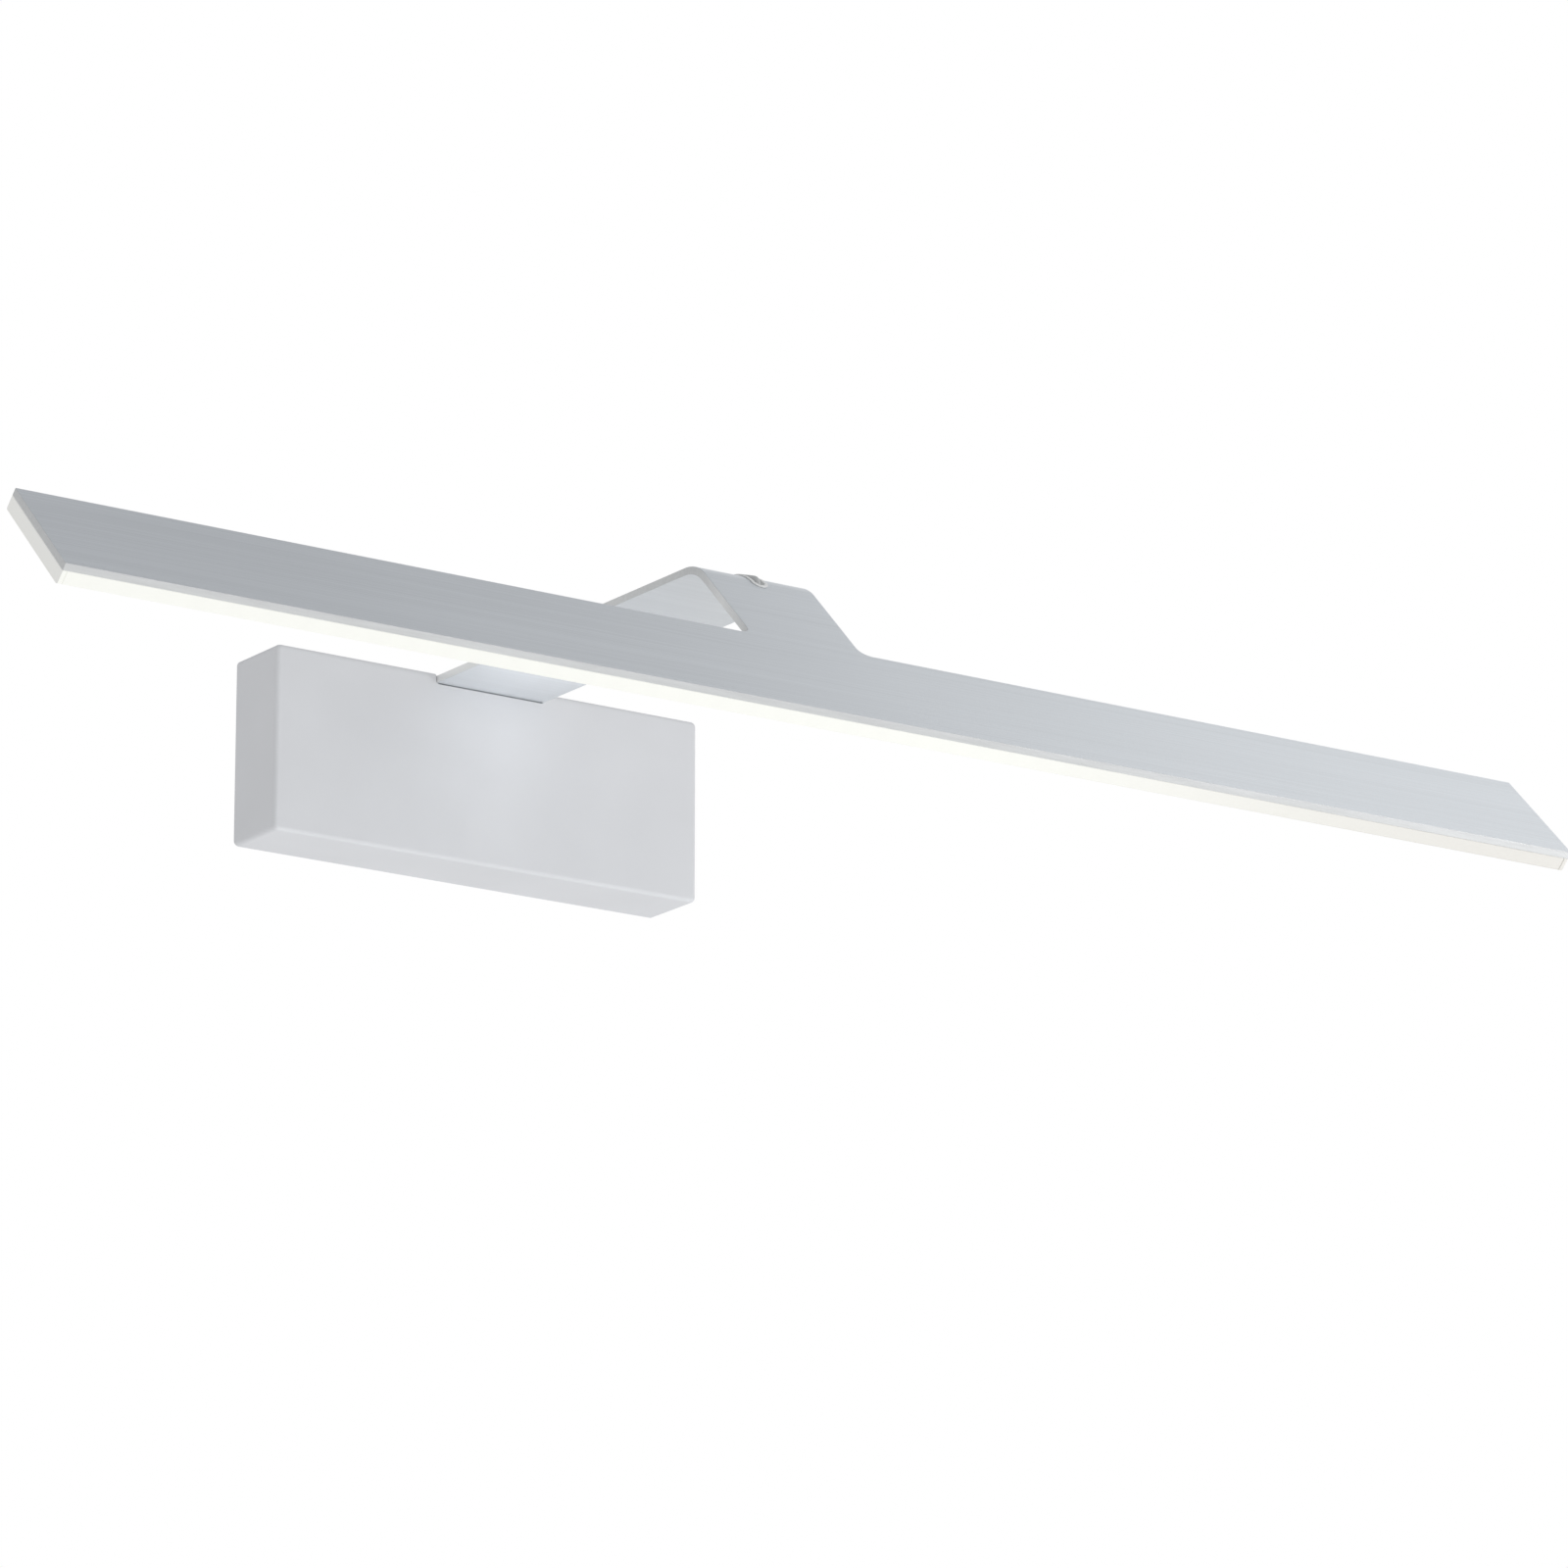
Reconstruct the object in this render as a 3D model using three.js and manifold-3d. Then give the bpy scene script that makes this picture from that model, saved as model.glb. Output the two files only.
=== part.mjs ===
// LED wall light: a shallow wall canopy, a folded sheet arm that widens into a long sloping head
// plate, and a slim LED unit with an opal diffuser under that plate.
// Millimetres, +Z up, +X along the lamp. The wall is the plane y = 0 and the room lies towards -Y.
import * as THREE from 'three';
import { mergeVertices } from 'three/addons/utils/BufferGeometryUtils.js';
import Module from 'manifold-3d';

const wasm = await Module();
wasm.setup();

// Fits and tool overruns shared by all pieces
const clearance = 0.3;
const overrun = 4;
const weld = 0.0001;

// Rounding: how many flat steps stand for an arc
const cornerSteps = 4;
const bendSteps = 10;
const roundSides = 16;
const wireSides = 8;

// Canopy cover, an open-backed sheet box
const canopyWidth = 160;
const canopyHeight = 60;
const canopyDepth = 25;
const canopyWall = 1.2;
const canopyEdgeRadius = 1.4;
const canopyCornerExtra = 0.4;

// Arm, neck and head plate, folded from one sheet
const sheet = 2.5;
const armWidth = 41;
const armReach = 150;
const bendRadius = 16;
const slopeAngle = Math.PI / 4;
const neckLength = 42.5;
const neckFillet = 4;
const headLength = 555;
const headWidth = 43;

// Root of the arm: a fold down into a flange that is bolted behind the canopy's front panel
const rootRadius = 1;
const flangeHeight = 24;
const notchSideGap = 0.5;
const notchDrop = 0.6;
const notchCornerRadius = 1;
const slotGap = 0.5;
const studRadius = 2;
const studLength = 7.8;
const studSink = 0.6;
const studSpacing = 24;
const studDrop = 16;
const washerRadius = 4.5;
const washerThickness = 0.8;
const nutRadius = 4.04;
const nutThickness = 3.2;
const nutSides = 6;

// Wall plate with two upper tabs for the cover screws and two lower tabs that locate the cover
const plateThickness = 1.5;
const plateEdgeGap = 3.8;
const plateCornerRadius = 3;
const tabInset = 25;
const tabWidth = 16;
const upperTabDepth = 15;
const lowerTabDepth = 9;
const tabFoldRadius = 2;
const wallSlotInset = 15;
const wallSlotDrop = 17;
const wallSlotLength = 13;
const wallSlotWidth = 5.6;

// Pan-head screws
const screwRadius = 1.5;
const screwHeadRadius = 2.9;
const screwHeadHeight = 1.9;
const coverScrewSetback = 9;
const coverScrewLength = 6;

// Mains entry bush in the wall plate, above the terminal block and a little to its left. The free
// height is shared out above the bush, between bush and block, and below the block.
const plateRoomShares = [5, 6, 7];
const entryBesideBlock = 12;
const entryRadius = 8;
const entryWall = 1.6;
const entryLipWidth = 1.8;
const entryLipThickness = 1.4;

// Driver: case with fixing ears, circuit board and lid. Its length is what the room beside the
// terminal block leaves.
const driverInset = 19;
const driverBlockGap = 4.5;
const driverFloorGap = 1;
const driverHeight = 20;
const driverDepth = 15;
const driverWall = 1.5;
const driverCornerRadius = 1.5;
const driverLidThickness = 1.5;
const driverLidRim = 2;
const driverRimWidth = 1;
const driverEarLength = 8;
const driverEarWidth = 11;
const driverEarThickness = 2;
const driverBoardThickness = 1.6;
const driverBoardLift = 2;
const driverRibThickness = 1.5;
const driverWireInset = 3;
const driverWireSpacing = 4;
const driverWireDepth = 9;
const transformerLength = 18;
const transformerHeight = 13;
const transformerDepth = 7;
const capacitorRadius = 4;
const capacitorDepth = 7.5;
const filterRadius = 3;
const filterDepth = 6;
const componentGapShare = 0.078125;

// Terminal block
const poles = 3;
const polePitch = 9;
const blockHeight = 16;
const blockDepth = 12;
const blockCornerRadius = 1;
const blockWireRadius = 1.8;
const blockWireDepth = 5;
const screwWellRadius = 2.2;
const screwWellDepth = 4;
const screwWellSpacing = 9;
const clampScrewRadius = 1.9;
const clampScrewLength = 3;

// Earth point, to the right of the terminal block
const earthInset = 8;
const earthBlockGap = 9.5;
const earthRise = 2;
const ringRadius = 3.8;
const ringThickness = 0.8;
const barrelRadius = 1.7;
const barrelLength = 5;
const barrelBore = 3;

// Wires inside the canopy, the inline connector and the LED lead
const wireRadius = 1;
const wireSteps = 20;
const wireTail = 4;
const wireDrop = 3;
const leadRadius = 1;
const leadSteps = 78;
const pigtailSteps = 24;
const pigtailLoop = 10;
const connectorLength = 16;
const connectorHeight = 7;
const connectorDepth = 6;
const connectorInset = 24;
const connectorDrop = 12;
const connectorSocket = 3;
const leadExitSetback = 10;
const leadHump = 5.4;
const leadRise = 4;
const grommetHoleRadius = 3;
const grommetLipRadius = 4.2;
const grommetLipThickness = 0.8;

// Oblong passage of the LED lead through the bend, with its grommet
const passageWidth = 8;
const passageLength = 15;
const passageAngle = 0.29;
const passageLipWidth = 0.8;
const passageLipThickness = 0.5;
const passageWall = 0.9;
const passageSteps = 6;

// Saddle clips that hold the lead on the arm
const clipWidth = 10;
const clipLength = 7;
const clipRoof = 1;
const clipPlaceShares = [0.3, 0.78];

// LED unit under the head plate
const diffuserDepth = 4.7;
const diffuserFace = 1.3;
const diffuserWall = 1.2;
const diffuserCornerRadius = 0.8;
const snapRibWidth = 0.6;
const snapRibStart = 0.9;
const snapRibHeight = 0.8;
const endCapThickness = 1.5;
const endCapPlugLength = 4;
const trayThickness = 0.8;
const trayDepth = 2.3;
const trayLipHeight = 0.6;
const boardWidth = 16;
const boardThickness = 0.8;
const boardInnerGap = 3.5;
const boardEndGap = 2;
const ledPitch = 12;
const ledLength = 3.5;
const ledWidth = 2.8;
const ledHeight = 0.6;
const leadNotchGap = 0.5;
const leadTail = 4;

// Places worked out from the sizes above
const canopyTop = canopyHeight / 2;
const coverInside = -(canopyDepth - canopyWall);
const flangeFront = coverInside + clearance;
const flangeRear = flangeFront + sheet;
const notchWidth = armWidth + 2 * notchSideGap;
const notchBottom = canopyTop - sheet - notchDrop;
const studHeight = canopyTop - studDrop;
const foldAhead = canopyDepth + armReach;
const slopeCos = Math.cos(slopeAngle);
const slopeSin = Math.sin(slopeAngle);
const bendSetback = bendRadius * Math.tan(slopeAngle / 2);
const bendCentre = new THREE.Vector2(bendSetback - foldAhead, canopyTop - bendRadius);
const armFlat = armReach - bendSetback;
const passageRun = bendRadius * passageAngle;
const passageBoreHalf = passageLength / 2 - clearance - passageWall;
const headCentreRun = neckLength + headWidth / 2;
const headCentreAhead = foldAhead + headCentreRun * slopeCos;
const headCentreHeight = canopyTop - headCentreRun * slopeSin;
const plateFront = -plateThickness;
const plateWidth = canopyWidth - 2 * (canopyWall + plateEdgeGap);
const plateHeight = canopyHeight - 2 * (canopyWall + plateEdgeGap);
const tabAcross = plateWidth / 2 - tabInset;
const wallSlotAcross = plateWidth / 2 - wallSlotInset;
const wallSlotHeight = plateHeight / 2 - wallSlotDrop;
const tabTop = canopyTop - canopyWall - clearance;
const tabHoleRadius = screwRadius + clearance;
const blockWidth = poles * polePitch;
const earthAcross = plateWidth / 2 - earthInset;
const blockAcross = earthAcross - earthBlockGap - blockWidth / 2;
const plateRoomUnit = (plateHeight - 2 * entryRadius - blockHeight)
  / plateRoomShares.reduce((sum, share) => sum + share);
const [roomAboveEntry, , roomBelowBlock] = plateRoomShares.map((share) => share * plateRoomUnit);
const blockCentreHeight = (blockHeight - plateHeight) / 2 + roomBelowBlock;
const earthHeight = blockCentreHeight + earthRise;
const entryAcross = blockAcross - entryBesideBlock;
const entryHeight = plateHeight / 2 - roomAboveEntry - entryRadius;
const driverLeft = driverInset - plateWidth / 2;
const driverRight = blockAcross - blockWidth / 2 - driverBlockGap - driverEarLength;
const driverLength = driverRight - driverLeft;
const driverAcross = (driverLeft + driverRight) / 2;
const driverCentreHeight = (driverHeight - plateHeight) / 2 + driverFloorGap;
const connectorAcross = driverLeft + connectorInset;
const connectorCentreHeight = plateHeight / 2 - connectorDrop;
const driverOpenEnd = plateFront - driverDepth;
const earOffset = (driverLength + driverEarLength) / 2;
const leadDepthBelow = sheet + clearance + leadRadius;
const leadAbove = clearance + leadRadius;
const ledUnitTop = -(sheet + clearance);
const diffuserInside = headWidth / 2 - diffuserWall;
const ribInside = diffuserInside - snapRibWidth;
const trayHalf = ribInside - clearance;
const trayLength = headLength - 2 * (endCapThickness + endCapPlugLength + 2 * clearance);
const boardLength = trayLength / 2 - boardInnerGap - boardEndGap;
const boardTop = ledUnitTop - trayThickness - clearance;
const leadNotchWidth = 2 * (leadRadius + leadNotchGap);

// Booleans on closed geometries

function solid(geometry) {
  const bare = geometry.clone();
  bare.deleteAttribute('normal');
  bare.deleteAttribute('uv');
  const merged = mergeVertices(bare, weld);
  const corners = merged.index.array;
  const kept = [];
  for (let i = 0; i < corners.length; i += 3) {
    const [a, b, c] = corners.slice(i, i + 3);
    if (a !== b && b !== c && c !== a) {
      kept.push(a, b, c);
    }
  }
  const vertProperties = Float32Array.from(merged.attributes.position.array);
  const triVerts = Uint32Array.from(kept);
  return new wasm.Manifold(new wasm.Mesh({ numProp: 3, vertProperties, triVerts }));
}

function geometryOf(body) {
  const mesh = body.getMesh();
  const geometry = new THREE.BufferGeometry();
  geometry.setAttribute('position', new THREE.BufferAttribute(mesh.vertProperties, 3));
  geometry.setIndex(new THREE.BufferAttribute(mesh.triVerts, 1));
  return geometry;
}

function cut(geometry, tools) {
  return geometryOf(tools.reduce((body, tool) => body.subtract(solid(tool)), solid(geometry)));
}

function join(geometries) {
  const [first, ...others] = geometries;
  return geometryOf(others.reduce((body, other) => body.add(solid(other)), solid(first)));
}

function overlap(geometry, other) {
  return geometryOf(solid(geometry).intersect(solid(other)));
}

// Simple closed solids: a box by its limits, and round bars along each axis

function box([x0, x1], [y0, y1], [z0, z1]) {
  const geometry = new THREE.BoxGeometry(Math.abs(x1 - x0), Math.abs(y1 - y0), Math.abs(z1 - z0));
  return geometry.translate((x0 + x1) / 2, (y0 + y1) / 2, (z0 + z1) / 2);
}

function around(centre, size) {
  return [centre - size / 2, centre + size / 2];
}

function bar(radius, start, end, sides = roundSides) {
  const length = Math.abs(end - start);
  return new THREE.CylinderGeometry(radius, radius, length, sides).translate(0, (start + end) / 2, 0);
}

function barAlongY(radius, [start, end], x, z, sides) {
  return bar(radius, start, end, sides).translate(x, 0, z);
}

function barAlongZ(radius, [start, end], x, y, sides) {
  return bar(radius, start, end, sides).rotateX(Math.PI / 2).translate(x, y, 0);
}

function barAlongX(radius, [start, end], y, z, sides) {
  return bar(radius, start, end, sides).rotateZ(-Math.PI / 2).translate(0, y, z);
}

// A pan-head screw standing on z = 0, its shank pointing down
function panScrew(shankLength) {
  const profile = [
    new THREE.Vector2(0, -shankLength),
    new THREE.Vector2(screwRadius, -shankLength),
    new THREE.Vector2(screwRadius, 0),
    new THREE.Vector2(screwHeadRadius, 0),
  ];
  const dome = new THREE.Path();
  dome.absellipse(0, 0, screwHeadRadius, screwHeadHeight, 0, Math.PI / 2);
  profile.push(...dome.getPoints(cornerSteps).slice(1, -1), new THREE.Vector2(0, screwHeadHeight));
  return new THREE.LatheGeometry(profile, roundSides).rotateX(Math.PI / 2);
}

// Sketch outlines

function roundedRectangle(width, height, radius) {
  const shape = new THREE.Shape();
  const x = width / 2 - radius;
  const y = height / 2 - radius;
  shape.absarc(x, -y, radius, -Math.PI / 2, 0);
  shape.absarc(x, y, radius, 0, Math.PI / 2);
  shape.absarc(-x, y, radius, Math.PI / 2, Math.PI);
  shape.absarc(-x, -y, radius, Math.PI, 1.5 * Math.PI);
  return shape;
}

function obround(length, width) {
  const shape = new THREE.Shape();
  const half = (length - width) / 2;
  shape.absarc(half, 0, width / 2, -Math.PI / 2, Math.PI / 2);
  shape.absarc(-half, 0, width / 2, Math.PI / 2, 1.5 * Math.PI);
  return shape;
}

// Extrusions: flat sketches, sketches drawn in (y, z) and run along the lamp, and sketches drawn
// in (x, z) and run between two depths in front of the wall

function extruded(shape, depth, curveSegments = cornerSteps) {
  return new THREE.ExtrudeGeometry(shape, { depth, bevelEnabled: false, curveSegments });
}

function acrossX(shape, length) {
  const turn = new THREE.Matrix4().makeBasis(
    new THREE.Vector3(0, 1, 0),
    new THREE.Vector3(0, 0, 1),
    new THREE.Vector3(1, 0, 0),
  );
  return extruded(shape, length).translate(0, 0, -length / 2).applyMatrix4(turn);
}

function alongY(shape, [near, far], curveSegments) {
  const geometry = extruded(shape, Math.abs(far - near), curveSegments).rotateX(Math.PI / 2);
  return geometry.translate(0, Math.max(near, far), 0);
}

// A round tube or wire along a smooth curve through the given points
function wire(points, radius, steps) {
  const section = new THREE.Shape();
  section.absarc(0, 0, radius, 0, 2 * Math.PI);
  const extrudePath = new THREE.CatmullRomCurve3(points);
  const options = { extrudePath, steps, curveSegments: wireSides / 2, bevelEnabled: false };
  return new THREE.ExtrudeGeometry(section, options);
}

// Folded sheet metal in the (y, z) plane. The corners are where the flat runs of the outer face
// would meet, and every fold turns the same way.

function direction(from, to) {
  return to.clone().sub(from).normalize();
}

function inwardOf(along) {
  return new THREE.Vector2(-along.y, along.x);
}

// One face of the folded sheet, at a depth measured inwards from its outer face
function foldedFace(corners, radii, depth) {
  const face = [];
  corners.forEach((corner, i) => {
    const last = corners.length - 1;
    const before = i > 0 ? direction(corners[i - 1], corner) : direction(corner, corners[1]);
    const after = i < last ? direction(corner, corners[i + 1]) : before;
    if (radii[i] === 0) {
      face.push(corner.clone().addScaledVector(inwardOf(before), depth));
      return;
    }
    const turn = Math.acos(before.dot(after));
    const centre = corner.clone().addScaledVector(before, -radii[i] * Math.tan(turn / 2));
    centre.addScaledVector(inwardOf(before), radii[i]);
    for (let step = 0; step <= bendSteps; step += 1) {
      const spoke = inwardOf(before).multiplyScalar(depth - radii[i]);
      spoke.rotateAround(new THREE.Vector2(), (turn * step) / bendSteps);
      face.push(spoke.add(centre));
    }
  });
  return face;
}

function foldedSection(corners, radii, outerDepth, innerDepth) {
  const outer = foldedFace(corners, radii, outerDepth);
  const inner = foldedFace(corners, radii, innerDepth);
  return new THREE.Shape([...outer, ...inner.reverse()]);
}

// Canopy cover

function coverBlank() {
  const cornerRadius = canopyEdgeRadius + canopyCornerExtra;
  const outline = roundedRectangle(canopyWidth, canopyHeight, cornerRadius);
  const options = {
    depth: canopyDepth - canopyEdgeRadius + overrun,
    bevelThickness: canopyEdgeRadius,
    bevelSize: canopyEdgeRadius,
    bevelOffset: -canopyEdgeRadius,
    bevelSegments: cornerSteps,
    curveSegments: cornerSteps,
  };
  return new THREE.ExtrudeGeometry(outline, options).rotateX(Math.PI / 2).translate(0, overrun, 0);
}

function notchOutline() {
  const shape = new THREE.Shape();
  const half = notchWidth / 2;
  const corner = half - notchCornerRadius;
  const low = notchBottom + notchCornerRadius;
  shape.moveTo(half, canopyTop + overrun);
  shape.lineTo(-half, canopyTop + overrun);
  shape.absarc(-corner, low, notchCornerRadius, Math.PI, 1.5 * Math.PI);
  shape.absarc(corner, low, notchCornerRadius, -Math.PI / 2, 0);
  return shape;
}

function weldStud(side) {
  const reach = [coverInside - studSink, coverInside + studLength];
  return barAlongY(studRadius, reach, (side * studSpacing) / 2, studHeight);
}

function canopyCover() {
  const behindWall = box(
    around(0, 2 * canopyWidth),
    [0, 2 * (canopyEdgeRadius + overrun)],
    around(0, 2 * canopyHeight),
  );
  const hollow = box(
    around(0, canopyWidth - 2 * canopyWall),
    [coverInside, overrun],
    around(0, canopyHeight - 2 * canopyWall),
  );
  const notch = alongY(notchOutline(), [flangeRear + slotGap, -canopyDepth - overrun]);
  const topWall = [canopyTop - canopyWall - overrun, canopyTop + overrun];
  const screwHoles = [-1, 1].map((side) => (
    barAlongZ(tabHoleRadius, topWall, side * tabAcross, -coverScrewSetback)
  ));
  const leadHole = barAlongZ(grommetHoleRadius, topWall, 0, -leadExitSetback);
  const shell = cut(coverBlank(), [behindWall, hollow, notch, ...screwHoles, leadHole]);
  return join([shell, weldStud(-1), weldStud(1)]);
}

function coverScrew() {
  return panScrew(coverScrewLength);
}

// Arm, neck and head plate

function armCorners() {
  const fold = new THREE.Vector2(-foldAhead, canopyTop);
  const run = neckLength + headWidth;
  return [
    new THREE.Vector2(flangeRear, canopyTop - flangeHeight),
    new THREE.Vector2(flangeRear, canopyTop),
    fold,
    fold.clone().add(new THREE.Vector2(-run * slopeCos, -run * slopeSin)),
  ];
}

function armSection(outerDepth, innerDepth) {
  return foldedSection(armCorners(), [0, rootRadius + sheet, bendRadius, 0], outerDepth, innerDepth);
}

// The sheet beside the arm and neck that is cut away, with the fillet at the neck's root. It is
// drawn in the head's own axes: x along the lamp, y up the slope, z out of the visible face.
function besideNeck(side) {
  const far = foldAhead + neckLength + headWidth;
  const edge = armWidth / 2;
  const plateTop = headWidth / 2;
  const end = headLength / 2 + overrun;
  const outline = new THREE.Shape();
  outline.moveTo(end, far);
  outline.lineTo(edge, far);
  outline.absarc(edge + neckFillet, plateTop + neckFillet, neckFillet, Math.PI, 1.5 * Math.PI);
  outline.lineTo(end, plateTop);
  const offcut = extruded(outline, 2 * far).translate(0, 0, -far);
  const turned = side > 0 ? offcut : offcut.rotateY(Math.PI);
  return turned.rotateX(slopeAngle).translate(0, -headCentreAhead, headCentreHeight);
}

// A point beside the folded sheet: the run is measured along its outer face from where the bend
// starts, and the depth inwards from that face
function besideSheet(run, depth) {
  const bendRun = bendRadius * slopeAngle;
  const turn = Math.min(Math.max(run, 0), bendRun) / bendRadius;
  const straight = Math.min(run, 0) + Math.max(run - bendRun, 0);
  const out = new THREE.Vector3(0, -Math.sin(turn), Math.cos(turn));
  const along = new THREE.Vector3(0, -Math.cos(turn), -Math.sin(turn));
  const centre = new THREE.Vector3(0, bendCentre.x, bendCentre.y);
  return centre.addScaledVector(out, bendRadius - depth).addScaledVector(along, straight);
}

// An oblong prism through the bend, along its normal at the passage
function passagePrism(length, width, height) {
  const prism = extruded(obround(length, width), height, passageSteps);
  prism.translate(0, 0, -height / 2).rotateZ(Math.PI / 2).rotateX(passageAngle);
  const middle = besideSheet(passageRun, 0);
  return prism.translate(0, middle.y, middle.z);
}

function armHeadPlate() {
  const blank = acrossX(armSection(0, sheet), headLength);
  const throughFlange = [flangeFront - overrun, flangeRear + overrun];
  const studHoles = [-1, 1].map((side) => (
    barAlongY(studRadius + clearance, throughFlange, (side * studSpacing) / 2, studHeight)
  ));
  const passage = passagePrism(passageLength, passageWidth, 2 * (sheet + overrun));
  return cut(blank, [besideNeck(-1), besideNeck(1), ...studHoles, passage]);
}

// The grommet's lips follow the bend above and below the sheet, and its body fills the passage. A
// saddle is open in each lip where the lead comes in over the arm and leaves under the neck.
function bendGrommet() {
  const lipLength = passageLength + 2 * passageLipWidth;
  const lipWidth = passageWidth + 2 * passageLipWidth;
  const height = 2 * (sheet + overrun);
  const lipPrism = passagePrism(lipLength, lipWidth, height);
  const bodyPrism = passagePrism(passageLength - 2 * clearance, passageWidth - 2 * clearance, height);
  const boreWidth = passageWidth - 2 * (clearance + passageWall);
  const bore = passagePrism(2 * passageBoreHalf, boreWidth, height + overrun);
  const lipTop = clearance + passageLipThickness;
  const band = (outer, inner) => acrossX(armSection(outer, inner), lipWidth + overrun);
  const body = overlap(band(-lipTop, sheet + lipTop), bodyPrism);
  const upperLip = overlap(band(-lipTop, -clearance), lipPrism);
  const lowerLip = overlap(band(sheet + clearance, sheet + lipTop), lipPrism);
  return cut(join([body, upperLip, lowerLip]), [bore, leadSaddle(-1), leadSaddle(1)]);
}

// The room that a lip leaves for the lead: over the sheet on the arm's side of the passage, and
// under it on the neck's side
function leadSaddle(side) {
  const width = 2 * (leadRadius + clearance);
  const depths = side < 0 ? [-overrun, 0] : [sheet, sheet + overrun];
  const height = 2 * (sheet + overrun);
  const half = box(around(0, width), [0, -side * passageLength], around(0, height));
  const middle = besideSheet(passageRun, 0);
  const placed = half.rotateX(passageAngle).translate(0, middle.y, middle.z);
  return overlap(acrossX(armSection(...depths), 2 * width), placed);
}

function flangeWasher() {
  const face = [0, washerThickness];
  return cut(barAlongY(washerRadius, face, 0, 0), [
    barAlongY(studRadius + clearance, [-overrun, washerThickness + overrun], 0, 0),
  ]);
}

function flangeNut() {
  const face = [0, nutThickness];
  return cut(barAlongY(nutRadius, face, 0, 0, nutSides), [
    barAlongY(studRadius + clearance, [-overrun, nutThickness + overrun], 0, 0),
  ]);
}

// Wall plate

function plateTab(depth) {
  const corners = [
    new THREE.Vector2(0, plateHeight / 2 - plateCornerRadius),
    new THREE.Vector2(0, tabTop),
    new THREE.Vector2(-depth, tabTop),
  ];
  return acrossX(foldedSection(corners, [0, tabFoldRadius, 0], 0, plateThickness), tabWidth);
}

function wallPlate() {
  const blank = alongY(roundedRectangle(plateWidth, plateHeight, plateCornerRadius), [0, plateFront]);
  const sides = [-1, 1];
  const tabs = sides.flatMap((side) => [
    plateTab(upperTabDepth).translate(side * tabAcross, 0, 0),
    plateTab(lowerTabDepth).rotateY(Math.PI).translate(side * tabAcross, 0, 0),
  ]);
  const through = [overrun, plateFront - overrun];
  const throughTab = [tabTop - plateThickness - overrun, tabTop + overrun];
  const slot = obround(wallSlotLength, wallSlotWidth);
  const holes = [
    ...sides.map((side) => (
      barAlongZ(tabHoleRadius, throughTab, side * tabAcross, -coverScrewSetback)
    )),
    ...sides.map((side) => (
      alongY(slot, through).translate(side * wallSlotAcross, 0, wallSlotHeight)
    )),
    ...sides.map((side) => (
      barAlongY(tabHoleRadius, through, driverAcross + side * earOffset, driverCentreHeight)
    )),
    barAlongY(tabHoleRadius, through, earthAcross, earthHeight),
    barAlongY(tabHoleRadius, through, blockAcross - polePitch / 2, blockCentreHeight),
    barAlongY(entryRadius, through, entryAcross, entryHeight),
  ];
  return cut(join([blank, ...tabs]), holes);
}

function entryBush() {
  const body = barAlongY(entryRadius - clearance, [0, plateFront], 0, 0);
  const lipEnd = plateFront - entryLipThickness;
  const lip = barAlongY(entryRadius + entryLipWidth, [plateFront, lipEnd], 0, 0);
  const bore = barAlongY(entryRadius - clearance - entryWall, [overrun, lipEnd - overrun], 0, 0);
  return cut(join([body, lip]), [bore]);
}

// Driver

function driverEar(side) {
  const outline = roundedRectangle(
    driverEarLength + 2 * driverCornerRadius, driverEarWidth, driverCornerRadius,
  );
  const ear = alongY(outline, [0, -driverEarThickness]);
  return ear.translate(side * (earOffset - driverCornerRadius), 0, 0);
}

// Drawn around the middle of the case's floor, with the floor on y = 0
function driverCase() {
  const outline = roundedRectangle(driverLength, driverHeight, driverCornerRadius);
  const shell = join([alongY(outline, [0, -driverDepth]), driverEar(-1), driverEar(1)]);
  const hollow = box(
    around(0, driverLength - 2 * driverWall),
    [-driverWall, -driverDepth - overrun],
    around(0, driverHeight - 2 * driverWall),
  );
  const earHoles = [-1, 1].map((side) => (
    barAlongY(tabHoleRadius, [overrun, -driverEarThickness - overrun], side * earOffset, 0)
  ));
  const rightWall = around(driverLength / 2, 2 * (driverWall + overrun));
  const inputHoles = [-1, 1].map((side) => barAlongX(
    wireRadius + clearance,
    rightWall,
    -driverWireDepth - (side * driverWireSpacing) / 2,
    0,
  ));
  const leftWall = around(-driverLength / 2, 2 * (driverWall + overrun));
  const outputHole = barAlongX(leadRadius + clearance, leftWall, -driverWireDepth, 0);
  const ribs = [-1, 1].map((side) => box(
    around((side * driverLength) / 4, driverRibThickness),
    [-driverWall, -driverWall - driverBoardLift],
    around(0, driverHeight - driverWall),
  ));
  return join([cut(shell, [hollow, ...earHoles, ...inputHoles, outputHole]), ...ribs]);
}

function driverBoard() {
  const boardRear = -(driverWall + driverBoardLift);
  const boardFront = boardRear - driverBoardThickness;
  const seated = boardRear - driverBoardThickness / 2;
  const boardLength = driverLength - 2 * (driverWall + clearance);
  const board = box(
    around(0, boardLength),
    [boardRear, boardFront],
    around(0, driverHeight - 2 * (driverWall + clearance)),
  );
  const transformer = box(
    around(0, transformerLength),
    [seated, boardFront - transformerDepth],
    around(0, transformerHeight),
  );
  const freeLength = boardLength - transformerLength - 2 * (capacitorRadius + filterRadius);
  const componentGap = componentGapShare * freeLength;
  const capacitorAcross = transformerLength / 2 + componentGap + capacitorRadius;
  const capacitor = barAlongY(
    capacitorRadius, [seated, boardFront - capacitorDepth], capacitorAcross, 0,
  );
  const filterAcross = -(transformerLength / 2 + componentGap + filterRadius);
  const filter = barAlongY(filterRadius, [seated, boardFront - filterDepth], filterAcross, 0);
  return join([board, transformer, capacitor, filter]);
}

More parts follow.
